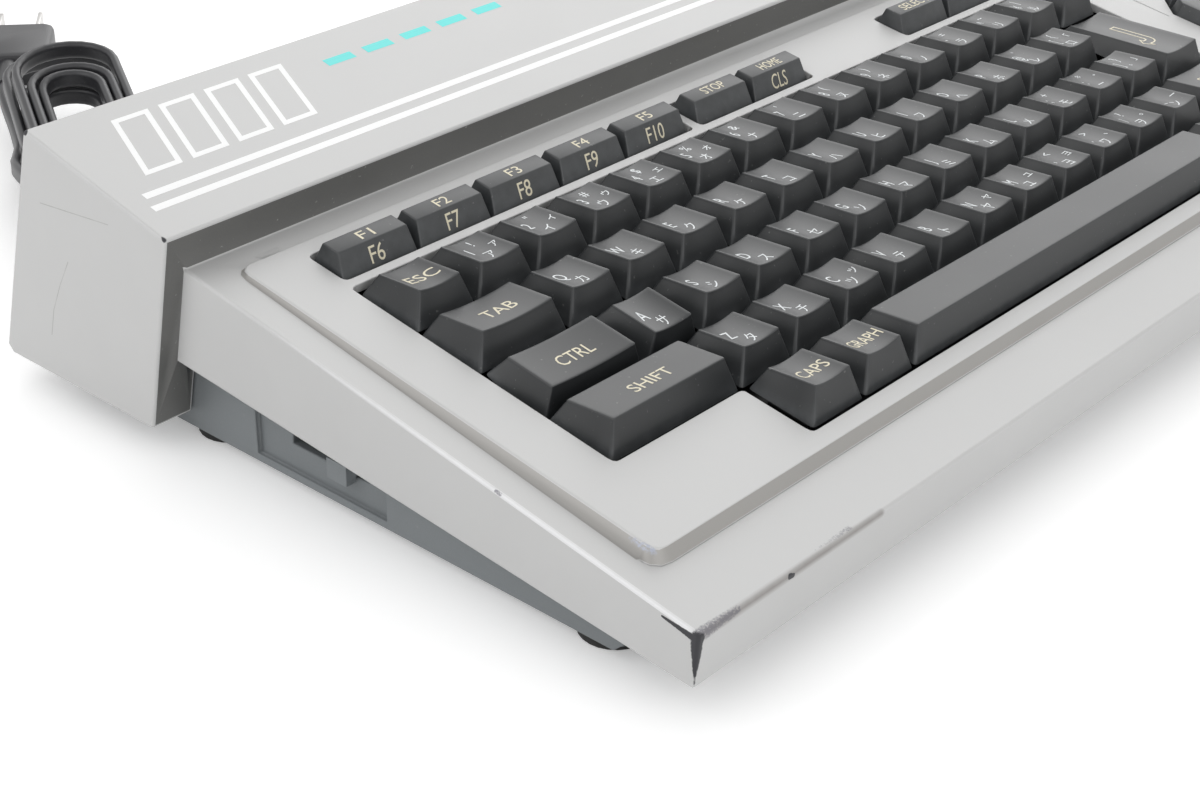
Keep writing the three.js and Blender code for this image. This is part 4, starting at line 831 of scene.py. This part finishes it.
def cap_shape(build, width, rows, flat, matrix, kind=0):
    """One keycap as a closed shell: ceiling, inner walls, rim, sides, rounded edge, dished top."""
    reach = (rows - 1) * KEY_PITCH
    taper = TOP_SIDE_INSET - BASE_SIDE_INSET
    depth = TOP_DEPTH + reach
    base_rear = BASE_DEPTH - BASE_FORWARD + reach
    x_steps = max(LONG_SIDE_STEPS, round(width / 2))
    y_steps = DEEP_SIDE_STEPS * rows

    def ring(grow, front, rear, corner):
        corner = max(corner, LEAST_CORNER)
        return rounded_ring(-grow, width + grow, front, rear, corner, x_steps, y_steps)

    ceiling = ring(-CAP_WALL, CAP_WALL, depth - CAP_WALL, BASE_CORNER / 2)
    inner = ring(
        taper - CAP_WALL, CAP_WALL - BASE_FORWARD, base_rear - CAP_WALL, BASE_CORNER / 2)
    base = ring(taper, -BASE_FORWARD, base_rear, BASE_CORNER)
    top = ring(0, 0, depth, TOP_CORNER)
    def raised(outline, drop):
        return [(x, y, key_top_z(x, y, width, rows, flat) - drop) for x, y in outline]

    rings = [
        [(x, y, -CAP_CEILING - fall_rate(rows) * y) for x, y in ceiling],
        [(x, y, -SKIRT_DROP) for x, y in inner],
    ]
    upper = raised(top, TOP_EDGE_ROUND)
    lower = [(x, y, -SKIRT_DROP) for x, y in base]
    for share in reversed(SIDE_SHARES):
        rings.append([between(here, there, share) for here, there in zip(upper, lower)])
    for step in range(EDGE_ARC_STEPS + 1):
        angle = math.pi / 2 * step / EDGE_ARC_STEPS
        inset = TOP_EDGE_ROUND * (1 - math.cos(angle))
        drop = TOP_EDGE_ROUND * (1 - math.sin(angle))
        rings.append(raised(ring(-inset, inset, depth - inset, TOP_CORNER - inset), drop))
    half = min(width, depth) / 2
    for share in TOP_RING_SHARES:
        inset = TOP_EDGE_ROUND + (half - TOP_EDGE_ROUND) * share
        rings.append(raised(ring(-inset, inset, depth - inset, LEAST_CORNER), 0))
    verts = [point for points in rings for point in points]
    faces = rings_to_faces(len(rings), len(top), True)
    faces += strips_across((len(rings) - 1) * len(top), x_steps, y_steps)
    build.add(verts, faces, kind, matrix)


def strips_across(start, x_steps, y_steps):
    """Faces that close a rounded ring with strips between its front and its rear side."""
    right = CORNER_STEPS + y_steps
    rear = [right + CORNER_STEPS + i for i in range(x_steps + 1)]
    left = rear[-1]
    last = left + 2 * CORNER_STEPS + y_steps
    size = last + x_steps
    front = [(size - i) % size for i in range(x_steps + 1)]
    faces = [tuple(range(rear[0] + 1)), tuple(range(left, last + 1))]
    for i in range(x_steps):
        faces.append((rear[i], rear[i + 1], front[i + 1], front[i]))
    return [tuple(start + index for index in face) for face in faces]


def add_stems(build, width, rows, sink, matrix):
    for x, y in stem_places(width, rows):
        top = -CAP_CEILING - fall_rate(rows) * y + CAP_WALL / 2 - sink
        box_shape(
            build, around(x, STEM_HALF), around(y, STEM_HALF), (STEM_END_Z, top), CAP_WALL / 4,
            0, matrix)


def leaned(width, rows):
    """How a cap that is loose on its stem lies: its front leans down."""
    y = stem_places(width, rows)[0][1]
    there = Matrix.Translation((0, y, LOOSE_PIVOT_Z - LOOSE_SINK))
    back = Matrix.Translation((0, -y, -LOOSE_PIVOT_Z))
    return there @ Matrix.Rotation(LOOSE_LEAN, 4, "X") @ back


def stem_places(width, rows):
    y = (rows - 1) * KEY_PITCH / 2 - BASE_FORWARD + BASE_DEPTH / 2
    spread = width / 2 - KEY_PITCH if width > LONG_KEY_UNITS * KEY_PITCH else 0
    if spread == 0:
        return [(width / 2, y)]
    return [(width / 2 + offset, y) for offset in (-spread, 0, spread)]


# Legends

FONT_CAPITAL = 0.686
FONT_KANA = 0.76
FIRST_KANA = "\u3000"
GLYPH_EXTRUDE = 0.02
GLYPH_STEPS = 3
LEGEND_LIFT = 0.045
LEGEND_DEPTH = 0.12
LEFT_MARK = (2.75, 6.3)
FRONT_MARK = (5.95, 2.75)
REAR_MARK = (6.6, 9.7)
RIGHT_MARK = (10.1, 6.2)
LETTER_HEIGHT = 3.5
KANA_HEIGHT = 3.2
SMALL_KANA_HEIGHT = 2.7
SIGN_HEIGHT = 2.9
WORD_HEIGHT = 3.3
WORD_UP = 5.6
LETTER_NARROW = 0.8
WORD_LENGTHS = {
    "ESC": 9, "BS": 6, "TAB": 9.6, "CTRL": 10.6, "SHIFT": 12.5, "CAPS": 9.4, "GRAPH": 10.4,
    "かな": 7,
}


def glyph_mesh(text, height, width):
    """Letters as a thin closed solid, centred on the origin, in millimetres."""
    data = bpy.data.curves.new("legend", "FONT")
    data.body = text
    data.extrude = GLYPH_EXTRUDE
    data.resolution_u = GLYPH_STEPS
    carrier = new_object("legend", data)
    depsgraph = bpy.context.evaluated_depsgraph_get()
    mesh = bpy.data.meshes.new_from_object(carrier.evaluated_get(depsgraph))
    verts = [vert.co.copy() for vert in mesh.vertices]
    faces = [tuple(face.vertices) for face in mesh.polygons]
    bpy.data.objects.remove(carrier)
    bpy.data.curves.remove(data)
    bpy.data.meshes.remove(mesh)
    if not verts:
        return [], []
    low_x, high_x = min(v.x for v in verts), max(v.x for v in verts)
    low_z, high_z = min(v.z for v in verts), max(v.z for v in verts)
    middle = (low_x + high_x) / 2
    tall = FONT_CAPITAL if text[0] < FIRST_KANA else FONT_KANA
    scale = height / tall
    across = width / (high_x - low_x) if width else scale * LETTER_NARROW
    thick = LEGEND_DEPTH / (high_z - low_z)
    placed = [
        Vector(((v.x - middle) * across, (v.y - tall / 2) * scale, (v.z - high_z) * thick))
        for v in verts]
    return placed, faces


GLYPHS = {}


def legend(build, text, centre, height, surface, kind, matrix, width=None):
    key = (text, height, width)
    if key not in GLYPHS:
        GLYPHS[key] = glyph_mesh(text, height, width)
    verts, faces = GLYPHS[key]
    placed = []
    for vert in verts:
        x, y = centre[0] + vert.x, centre[1] + vert.y
        placed.append(Vector((x, y, surface(x, y) + LEGEND_LIFT + vert.z)))
    build.add(placed, faces, kind, matrix)


def letter_legends(marks):
    """What stands in the four places of a letter key's top."""
    places = [
        (LEFT_MARK, LETTER_HEIGHT), (FRONT_MARK, KANA_HEIGHT),
        (REAR_MARK, SIGN_HEIGHT), (RIGHT_MARK, SMALL_KANA_HEIGHT),
    ]
    return [(mark, place, height) for mark, (place, height) in zip(marks, places) if mark]


DIGIT_MARKS = {
    "key_1": ("1", "ア", "!", "ァ"), "key_2": ("2", "イ", '"', "ィ"),
    "key_3": ("3", "ウ", "#", "ゥ"), "key_4": ("4", "エ", "$", "ェ"),
    "key_5": ("5", "オ", "%", "ォ"), "key_6": ("6", "ナ", "&", ""),
    "key_7": ("7", "ニ", "'", ""), "key_8": ("8", "ヌ", "(", ""),
    "key_9": ("9", "ネ", ")", ""), "key_0": ("0", "ノ", "", ""),
}
LETTER_ROWS = [
    (1, 11, [("-", "ラ", "=", ""), ("^", "リ", "~", ""), ("¥", "ル", "|", "")]),
    (2, 1.5, [
        ("Q", "カ"), ("W", "キ"), ("E", "ク"), ("R", "ケ"), ("T", "コ"), ("Y", "ハ"), ("U", "ヒ"),
        ("I", "フ"), ("O", "ヘ"), ("P", "ホ"), ("@", "レ", "`", ""), ("[", "ロ", "{", "「")]),
    (3, 1.75, [
        ("A", "サ"), ("S", "シ"), ("D", "ス"), ("F", "セ"), ("G", "ソ"), ("H", "マ"), ("J", "ミ"),
        ("K", "ム"), ("L", "メ"), (";", "モ", "+", ""), (":", "ー", "*", "゛"),
        ("]", "゜", "}", "」")]),
    (4, 2.25, [
        ("Z", "タ"), ("X", "チ"), ("C", "ツ", "", "ッ"), ("V", "テ"), ("B", "ト"),
        ("N", "ヤ", "", "ャ"), ("M", "ユ", "", "ュ"), (",", "ヨ", "<", "ョ"),
        (".", "ワ", ">", "、"), ("/", "ヲ", "?", "。"), ("_", "ン", "", "ー")]),
]
# Name, row, place in the row, width in units, rows, whether the top is flat, word
WORD_KEYS = [
    ("key_esc", 1, 0, 1, 1, False, "ESC"), ("key_backspace", 1, 14, 1, 1, False, "BS"),
    ("key_tab", 2, 0, 1.5, 1, False, "TAB"), ("key_return", 3, 13.75, 1.25, 2, False, ""),
    ("key_ctrl", 3, 0, 1.75, 1, False, "CTRL"),
    ("key_shift_left", 4, 0, 2.25, 1, True, "SHIFT"),
    ("key_shift_right", 4, 13.25, 1.75, 1, False, "SHIFT"),
    ("key_caps", 5, 2.25, 1, 1, False, "CAPS"), ("key_graph", 5, 3.25, 1, 1, False, "GRAPH"),
    ("key_space", 5, 4.25, 8, 1, True, ""), ("key_kana", 5, 12.25, 1, 1, False, "かな"),
]
LOOSE_KEYS = [(3, 0), (3, 1.75)]


def key_matrix(row, at):
    y = (len(ROW_LIFT) - row) * KEY_PITCH + ROW_SHIFT[row - 1]
    return Matrix.Translation((at * KEY_PITCH, y, ROW_LIFT[row - 1]))


def top_width(units):
    return units * KEY_PITCH - 2 * TOP_SIDE_INSET


def add_key(build, row, at, units, rows, flat, marks, kind):
    width = top_width(units)
    upright = key_matrix(row, at)
    loose = (row, at) in LOOSE_KEYS
    matrix = upright @ leaned(width, rows) if loose else upright
    cap_shape(build, width, rows, flat, matrix)
    add_stems(build, width, rows, CAP_WALL / 2 + LOOSE_SINK if loose else 0, upright)

    def surface(x, y):
        return key_top_z(x, y, width, rows, flat)

    for text, place, height in marks:
        legend(build, text, place, height, surface, kind, matrix, WORD_LENGTHS.get(text))


RETURN_ARROW = [
    (8.3, 22.9), (10.4, 22.9), (10.4, 11), (10.1, 9.8), (9.3, 8.8), (8, 8.4), (6, 8.4), (6, 7.2),
    (3.7, 9.6), (6, 12), (6, 10.8), (7.3, 10.8), (8, 11.1), (8.3, 11.9),
]
ARROW_LINE = 0.45
ARROW_STEP = 1


def finer(points, step):
    """A closed outline with points no further apart than the step."""
    found = []
    for i, here in enumerate(points):
        there = points[(i + 1) % len(points)]
        count = max(1, math.ceil(math.hypot(there[0] - here[0], there[1] - here[1]) / step))
        found += [between(here, there, k / count) for k in range(count)]
    return found


def outline_legend(build, outline, line, surface, kind, matrix):
    """A closed outline drawn as a thin raised line that follows the surface."""
    points = [Vector(p) for p in finer(outline, ARROW_STEP)]
    count = len(points)
    verts = []
    for i, point in enumerate(points):
        before = (point - points[i - 1]).normalized()
        after = (points[(i + 1) % count] - point).normalized()
        across = Vector((before.y + after.y, -before.x - after.x)).normalized()
        reach = line / 2 / max(across.dot(Vector((after.y, -after.x))), 0.5)
        for side, rise in ((1, 0), (1, -LEGEND_DEPTH), (-1, -LEGEND_DEPTH), (-1, 0)):
            x, y = point + across * (side * reach)
            verts.append((x, y, surface(x, y) + LEGEND_LIFT + rise))
    faces = []
    for i in range(count):
        here, there = i * 4, (i + 1) % count * 4
        for k in range(4):
            following = (k + 1) % 4
            faces.append((here + k, there + k, there + following, here + following))
    build.add(verts, faces, kind, matrix)


def word_marks(text, units, rows):
    if not text:
        return []
    width = top_width(units)
    return [(text, (width / 2, WORD_UP * rows), WORD_HEIGHT)]


def add_main_keys(materials):
    slots = [materials["key"], materials["white"], materials["cream"]]
    for index, (name, marks) in enumerate(DIGIT_MARKS.items()):
        build = Build()
        add_key(build, 1, index + 1, 1, 1, False, letter_legends(marks), 1)
        finish_key(build, name, slots)
    for name, row, at, units, rows, flat, text in WORD_KEYS:
        build = Build()
        add_key(build, row, at, units, rows, flat, word_marks(text, units, rows), 2)
        if name == "key_return":
            width = top_width(units)
            outline_legend(
                build, RETURN_ARROW, ARROW_LINE,
                lambda x, y: key_top_z(x, y, width, rows, flat), 2, key_matrix(row, at))
        finish_key(build, name, slots)
    letters = Build()
    for row, start, keys in LETTER_ROWS:
        for index, marks in enumerate(keys):
            add_key(letters, row, start + index, 1, 1, False, letter_legends(marks), 1)
    piece = letters.piece("letter_keys", KEYS, slots)
    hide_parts("key_plate")
    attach(piece, "case")


def finish_key(build, name, slots):
    piece = build.piece(name + "_cap", KEYS, slots)
    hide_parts(name)
    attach(piece, name)


# Bar keys

BAR_KEYS = [
    ("key_F1", "F1", "F6"), ("key_F2", "F2", "F7"), ("key_F3", "F3", "F8"),
    ("key_F4", "F4", "F9"), ("key_F5", "F5", "F10"), ("key_stop", "STOP", ""),
    ("key_home", "HOME", "CLS"), ("key_select", "SELECT", ""), ("key_insert", "INS", ""),
    ("key_delete", "DEL", ""),
]
BAR_STOP_INDEX = 5
BAR_SELECT_INDEX = 7
BAR_WIDTH = BAR_PITCH - BAR_GAP
BAR_STEM_Y = sum(BAR_BASE_Y) / 2
BAR_ROUND = 0.35
BAR_ROUND_STEPS = 3
BAR_TOP_LEGEND = 2.9
BAR_FRONT_LEGEND = 4
BAR_FRONT_UP_SHARE = 0.6
BAR_LETTER_WIDTH = 2.15


def bar_offset(index):
    if index < BAR_STOP_INDEX:
        return index * BAR_PITCH
    if index < BAR_SELECT_INDEX:
        return BAR_STOP_OFFSET + (index - BAR_STOP_INDEX) * BAR_PITCH
    return BAR_SELECT_OFFSET + (index - BAR_SELECT_INDEX) * BAR_PITCH


def block_cap(build, lower, upper, top_z, stem, matrix):
    """A cap that tapers between two outlines of the same number of points, on its stem."""
    shape = bmesh.new()
    below = [shape.verts.new((x, y, BAR_BASE_Z)) for x, y in lower]
    above = [shape.verts.new((x, y, top_z)) for x, y in upper]
    count = len(lower)
    shape.faces.new(list(reversed(below)))
    shape.faces.new(above)
    for i in range(count):
        following = (i + 1) % count
        shape.faces.new([below[i], below[following], above[following], above[i]])
    least_z = BAR_BASE_Z + BAR_ROUND
    edges = [e for e in shape.edges if max(v.co.z for v in e.verts) > least_z]
    add_bevelled(build, shape, edges, BAR_ROUND, BAR_ROUND_STEPS, 0, matrix)
    box_shape(
        build, around(stem[0], STEM_HALF), around(stem[1], STEM_HALF),
        (STEM_END_Z, BAR_BASE_Z + CAP_WALL), BAR_ROUND, 0, matrix)


def rectangle(x0, x1, y0, y1):
    return [(x0, y0), (x1, y0), (x1, y1), (x0, y1)]


def add_bar_keys(materials):
    slots = [materials["key"], materials["cream"]]
    front_run = (BAR_TOP_Z - BAR_BASE_Z, BAR_TOP_Y[0] - BAR_BASE_Y[0])
    front_slope = math.atan2(*front_run)
    front_up = math.hypot(*front_run) * BAR_FRONT_UP_SHARE
    for index, (name, top_text, front_text) in enumerate(BAR_KEYS):
        build = Build()
        matrix = Matrix.Translation((BAR_LEFT + bar_offset(index), 0, 0))
        block_cap(
            build, rectangle(0, BAR_WIDTH, *BAR_BASE_Y),
            rectangle(BAR_TAPER, BAR_WIDTH - BAR_TAPER, *BAR_TOP_Y), BAR_TOP_Z,
            (BAR_WIDTH / 2, BAR_STEM_Y), matrix)
        legend(
            build, top_text, (BAR_WIDTH / 2, sum(BAR_TOP_Y) / 2), BAR_TOP_LEGEND,
            lambda x, y: BAR_TOP_Z, 1, matrix, BAR_LETTER_WIDTH * len(top_text))
        if front_text:
            face = (
                matrix @ Matrix.Translation((0, BAR_BASE_Y[0], BAR_BASE_Z))
                @ Matrix.Rotation(front_slope, 4, "X"))
            legend(
                build, front_text, (BAR_WIDTH / 2, front_up), BAR_FRONT_LEGEND,
                lambda x, y: 0, 1, face, BAR_LETTER_WIDTH * len(front_text))
        finish_key(build, name, slots)


# Cursor keys

CURSOR_KEYS = ["key_right", "key_up", "key_left", "key_down"]
ARROW_REACH = 3.2
ARROW_PLACE = 17.2


def cursor_outline(shrink):
    margin = CURSOR_CLEARANCE + shrink
    half = CURSOR_FLATS / 2
    side = half - margin
    chamfer = 2 * half - CURSOR_CHAMFER - margin * math.sqrt(2)
    groove = (CURSOR_GAP / 2 + shrink) * math.sqrt(2)
    tip = CURSOR_HUB + shrink
    upper = [
        (side, chamfer - side), ((chamfer + groove) / 2, (chamfer - groove) / 2),
        (tip, tip - groove),
    ]
    lower = [(x, -y) for x, y in reversed(upper)]
    return lower + upper


def arrow_shape(build, kind, matrix):
    """A small plain triangle that points the way the key moves the cursor."""
    reach = ARROW_REACH
    corners = [(reach / 2, 0), (-reach / 2, reach / 2), (-reach / 2, -reach / 2)]
    verts = [(x, y, z) for z in (LEGEND_LIFT - LEGEND_DEPTH, LEGEND_LIFT) for x, y in corners]
    faces = [(2, 1, 0), (3, 4, 5), (0, 1, 4, 3), (1, 2, 5, 4), (2, 0, 3, 5)]
    build.add(verts, faces, kind, matrix)


def add_cursor_keys(materials):
    slots = [materials["key"], materials["cream"]]
    for turn, name in enumerate(CURSOR_KEYS):
        build = Build()
        matrix = Matrix.Translation((*CURSOR_CENTRE, 0))
        matrix = matrix @ Matrix.Rotation(turn * math.pi / 2, 4, "Z")
        block_cap(
            build, cursor_outline(0), cursor_outline(CURSOR_TAPER), CURSOR_TOP_Z,
            (CURSOR_STEM_REACH, 0), matrix)
        arrow_shape(build, 1, matrix @ Matrix.Translation((ARROW_PLACE, 0, CURSOR_TOP_Z)))
        finish_key(build, name, slots)


# Key plate and its housings

def main_stems():
    """The middle of each main key's stems in the key plane."""
    keys = [(1, index + 1, 1, 1) for index in range(len(DIGIT_MARKS))]
    keys += [(row, at, units, rows) for _, row, at, units, rows, _, _ in WORD_KEYS]
    for row, start, marks in LETTER_ROWS:
        keys += [(row, start + index, 1, 1) for index in range(len(marks))]
    places = []
    for row, at, units, rows in keys:
        corner = key_matrix(row, at).translation
        stems = stem_places(top_width(units), rows)
        places += [(corner.x + x, corner.y + y) for x, y in stems]
    return places


def lesser_stems():
    """The same for the bar keys and the cursor keys."""
    places = [
        (BAR_LEFT + bar_offset(index) + BAR_WIDTH / 2, BAR_STEM_Y)
        for index in range(len(BAR_KEYS))]
    for turn in range(len(CURSOR_KEYS)):
        angle = turn * math.pi / 2
        places.append((
            CURSOR_CENTRE[0] + CURSOR_STEM_REACH * math.cos(angle),
            CURSOR_CENTRE[1] + CURSOR_STEM_REACH * math.sin(angle)))
    return places


def housing_with_well(build, x, y):
    """A switch housing with the square well that a stem is pressed into."""
    narrow = HOUSING_HALF - HOUSING_ROUND
    rings = [
        (HOUSING_HALF, HOUSING_BOTTOM_Z), (HOUSING_HALF, HOUSING_TOP_Z - HOUSING_ROUND),
        (narrow, HOUSING_TOP_Z), (WELL_HALF, HOUSING_TOP_Z), (WELL_HALF, WELL_FLOOR_Z),
    ]
    verts = [
        (*corner, z) for half, z in rings
        for corner in rectangle(*around(x, half), *around(y, half))]
    build.add(verts, rings_to_faces(len(rings), 4, True, True))


def add_plate(materials):
    build = Build()
    box_shape(build, PLATE_X, PLATE_Y, PLATE_Z, HOUSING_ROUND)
    for x, y in main_stems():
        housing_with_well(build, x, y)
    for x, y in lesser_stems():
        box_shape(
            build, around(x, HOUSING_HALF), around(y, BAR_HOUSING_HALF_DEPTH),
            (HOUSING_BOTTOM_Z, BAR_HOUSING_TOP_Z), HOUSING_ROUND)
    piece = build.piece("switch_plate", KEYS, [materials["black"]])
    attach(piece, "case")


# Printed marks on the box

STRIPE_UP = [10.5, 15.2]
STRIPE_WIDTH = 2
STRIPE_LEFT = [-28.7, -27.4]
STRIPE_RIGHT = 370
PRINT_THICK = 0.06
MOTIF_LEFT = -22
MOTIF_UP = (21.5, 43)
MOTIF_SLANT = 7
MOTIF_BAR = 10.5
MOTIF_STEP = 13.5
MOTIF_COUNT = 4
MOTIF_LINE = 1.5
DASH_LEFT = 46
DASH_UP = (36.2, 39)
DASH_LENGTH = 9
DASH_STEP = 13
DASH_COUNT = 5


def flat_strip(build, corners, kind):
    """A quadrilateral of paint of a little thickness on the box's top."""
    count = len(corners)
    verts = [(x, y, z) for z in (-PRINT_THICK, PRINT_THICK / 2) for x, y in corners]
    sides = [(i, (i + 1) % count, count + (i + 1) % count, count + i) for i in range(count)]
    faces = [tuple(reversed(range(count))), tuple(range(count, 2 * count))] + sides
    build.add(verts, faces, kind)


def outlined_bar(build, x, kind):
    """One slanted bar drawn as an outline."""
    low, high = MOTIF_UP
    line = MOTIF_LINE
    slope = MOTIF_SLANT / (high - low)
    near, far = x + MOTIF_SLANT, x + MOTIF_BAR + MOTIF_SLANT
    outer = [(x, low), (x + MOTIF_BAR, low), (far, high), (near, high)]
    inner = [
        (x + line + line * slope, low + line),
        (x + MOTIF_BAR - line + line * slope, low + line),
        (far - line - line * slope, high - line), (near + line - line * slope, high - line),
    ]
    for i in range(4):
        following = (i + 1) % 4
        flat_strip(build, [outer[i], outer[following], inner[following], inner[i]], kind)


def add_print(materials):
    build = Build()
    for up, left in zip(STRIPE_UP, STRIPE_LEFT):
        flat_strip(build, rectangle(left, STRIPE_RIGHT, *around(up, STRIPE_WIDTH / 2)), 0)
    for i in range(MOTIF_COUNT):
        outlined_bar(build, MOTIF_LEFT + i * MOTIF_STEP, 0)
    for i in range(DASH_COUNT):
        left = DASH_LEFT + i * DASH_STEP
        flat_strip(build, rectangle(left, left + DASH_LENGTH, *DASH_UP), 1)
    piece = build.piece("box_print", BOX_TOP, [materials["stripe"], materials["teal"]])
    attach(piece, "case")


# Plug

PLUG_CORNER = 4
PLUG_LEAST_CORNER = 0.5
PLUG_SIDE_STEPS = 4
PLUG_EDGE = 1.6
PLUG_EDGE_SHARES = [(1, 0), (0.3, 0.3), (0, 1)]
TAIL_RADII = [(0, 4.4), (0.2, 4.3), (0.45, 4.0), (0.7, 3.6), (1, 3.1)]
TAIL_SIDES = 20


def plug_matrix():
    return MACHINE @ Matrix.Translation(PLUG_FRONT) @ Matrix.Rotation(PLUG_HEADING, 4, "Z")


def rounded_slab(build, x, y, z):
    lower = [(PLUG_EDGE * inset, z[0] + PLUG_EDGE * up) for inset, up in PLUG_EDGE_SHARES]
    upper = [(PLUG_EDGE * inset, z[1] - PLUG_EDGE * up) for inset, up in PLUG_EDGE_SHARES]
    rings = []
    for inset, height in lower + upper[::-1]:
        ring = rounded_ring(
            x[0] + inset, x[1] - inset, y[0] + inset, y[1] - inset,
            max(PLUG_CORNER - inset, PLUG_LEAST_CORNER), PLUG_SIDE_STEPS, PLUG_SIDE_STEPS)
        rings.append([(px, py, height) for px, py in ring])
    verts = [point for ring in rings for point in ring]
    build.add(verts, rings_to_faces(len(rings), len(rings[0]), True, True))


def add_plug(materials):
    build = Build()
    rounded_slab(
        build, (-PLUG_LENGTH, 0), around(0, PLUG_WIDTH / 2), around(0, PLUG_HEIGHT / 2))
    verts = []
    for share, radius in TAIL_RADII:
        x = -PLUG_LENGTH + PLUG_CORNER - (PLUG_TAIL + PLUG_CORNER) * share
        for k in range(TAIL_SIDES):
            angle = -2 * math.pi * k / TAIL_SIDES
            verts.append((x, radius * math.cos(angle), radius * math.sin(angle)))
    build.add(verts, rings_to_faces(len(TAIL_RADII), TAIL_SIDES, True, True))
    for side in (-1, 1):
        box_shape(
            build, (-PLUG_CORNER, BLADE_LENGTH),
            around(side * BLADE_SPACING / 2, BLADE_THICK / 2), around(0, BLADE_WIDTH / 2),
            BLADE_THICK / 4, 1)
    plug = build.piece("mains_plug", plug_matrix(), [materials["cord"], materials["steel"]])
    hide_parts("plug")
    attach(plug, "case")
    return plug


# Floor and light

FLOOR_HALF = 4
FLOOR_DROP = 0.0002
FLOOR_PAPER = {
    "Base Color": (0.97, 0.97, 0.97, 1), "Roughness": 0.9, "Specular IOR Level": 0.1,
}
ROOM_LIGHT = 0.65
FLOOR_GLOW = 0.27
LAMP_TARGET = (0, 0, 0.03)
LAMPS = [
    ("window_light", (1.08, 0.72, 0.86), 1.3, 8), ("left_light", (-1.1, 0.3, 0.9), 1, 3.8),
    ("front_light", (-0.3, -1.4, 0.8), 1.3, 5),
]


def add_stage():
    mesh = bpy.data.meshes.new("floor")
    corners = rectangle(-FLOOR_HALF, FLOOR_HALF, -FLOOR_HALF, FLOOR_HALF)
    mesh.from_pydata([(x, y, -FLOOR_DROP) for x, y in corners], [], [(0, 1, 2, 3)])
    floor = new_object("floor", mesh)
    mesh.materials.append(floor_material())
    world = bpy.data.worlds.new("white room")
    world.use_nodes = True
    tree = world.node_tree
    background = tree.nodes["Background"]
    background.inputs["Color"].default_value = WHITE
    background.inputs["Strength"].default_value = ROOM_LIGHT
    seen = new_node(tree, "ShaderNodeBackground", {"Color": WHITE, "Strength": 1})
    mix = new_node(tree, "ShaderNodeMixShader", {
        "Fac": seen_ray(tree), 1: background.outputs[0], 2: seen.outputs[0]})
    tree.links.new(mix.outputs[0], tree.nodes["World Output"].inputs["Surface"])
    bpy.context.scene.world = world
    for lamp in LAMPS:
        add_lamp(*lamp)


def seen_ray(tree):
    """1 for the rays of the camera, of mirrors and through clear things."""
    path = new_node(tree, "ShaderNodeLightPath", {})
    seen = path.outputs["Is Camera Ray"]
    for kind in ("Is Glossy Ray", "Is Transmission Ray"):
        seen = maths(tree, "MAXIMUM", seen, path.outputs[kind])
    return seen


def floor_material():
    """Pale paper with the object's shadow, a little brighter to the camera and to mirrors."""
    material = bpy.data.materials.new("floor_paper")
    material.use_nodes = True
    tree = material.node_tree
    surface = tree.nodes["Principled BSDF"]
    for socket, value in FLOOR_PAPER.items():
        surface.inputs[socket].default_value = value
    glow = new_node(tree, "ShaderNodeEmission", {
        "Strength": maths(tree, "MULTIPLY", seen_ray(tree), FLOOR_GLOW)})
    both = new_node(tree, "ShaderNodeAddShader", {0: surface.outputs[0], 1: glow.outputs[0]})
    tree.links.new(both.outputs[0], tree.nodes["Material Output"].inputs["Surface"])
    return material


def add_lamp(name, place, size, power):
    data = bpy.data.lights.new(name, "AREA")
    data.shape = "SQUARE"
    data.size = size
    data.energy = power
    lamp = new_object(name, data)
    lamp.location = place
    direction = Vector(LAMP_TARGET) - Vector(place)
    lamp.rotation_euler = direction.to_track_quat("-Z", "Y").to_euler()


# Carried-over CAD nodes

EDGE_CASE = 0.0008
EDGE_FINE = 0.00035
EDGE_SMALL = 0.0002
SHELL_SLOTS = [
    ("upper_case", "paint", EDGE_CASE, "case", "silver_paint"),
    ("cartridge_flap", "paint", EDGE_SMALL, "flap", "silver_paint"),
    ("lower_case", "lower", EDGE_FINE, "case", "grey_plastic"),
    ("power_lever", "lower", EDGE_SMALL, "power_lever", "grey_plastic"),
    ("cord_relief", "cord", EDGE_SMALL, "case", "cord_vinyl"),
] + [
    ("foot_" + place, "rubber", EDGE_FINE, "case", "rubber")
    for place in ("front_left", "front_right", "rear_left", "rear_right")
]
PLAIN_NODES = {
    "power_switch": "black", "main_board": "board", "cartridge_connector": "black",
    "transformer": "steel", "jack_rf": "steel", "jack_video": "steel", "jack_audio": "steel",
    "cassette_socket": "black", "printer_socket": "black", "joystick_socket_1": "steel",
    "joystick_socket_2": "steel",
}


def dress_nodes(materials):
    for node, material, width, body, slot in SHELL_SLOTS:
        tone = upper_case_tone if node == "upper_case" else None
        names = ["paint", "step", "dark", "edge"] if tone else [material]
        dressed(node, [materials[name] for name in names], width, body, tone)
    for node, material in PLAIN_NODES.items():
        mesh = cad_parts[node].data
        mesh.materials.clear()
        mesh.materials.append(materials[material])


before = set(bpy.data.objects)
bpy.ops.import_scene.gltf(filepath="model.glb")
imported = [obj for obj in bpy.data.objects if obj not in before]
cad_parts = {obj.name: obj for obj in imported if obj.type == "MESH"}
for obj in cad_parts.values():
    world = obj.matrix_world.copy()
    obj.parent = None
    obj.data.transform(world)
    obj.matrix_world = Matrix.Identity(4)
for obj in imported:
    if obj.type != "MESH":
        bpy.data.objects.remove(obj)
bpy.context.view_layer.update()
add_camera()
made = make_materials()
add_cord(made, add_plug(made))
dress_nodes(made)
add_main_keys(made)
add_bar_keys(made)
add_cursor_keys(made)
add_plate(made)
add_print(made)
add_stage()
bpy.context.scene.view_settings.view_transform = "Standard"
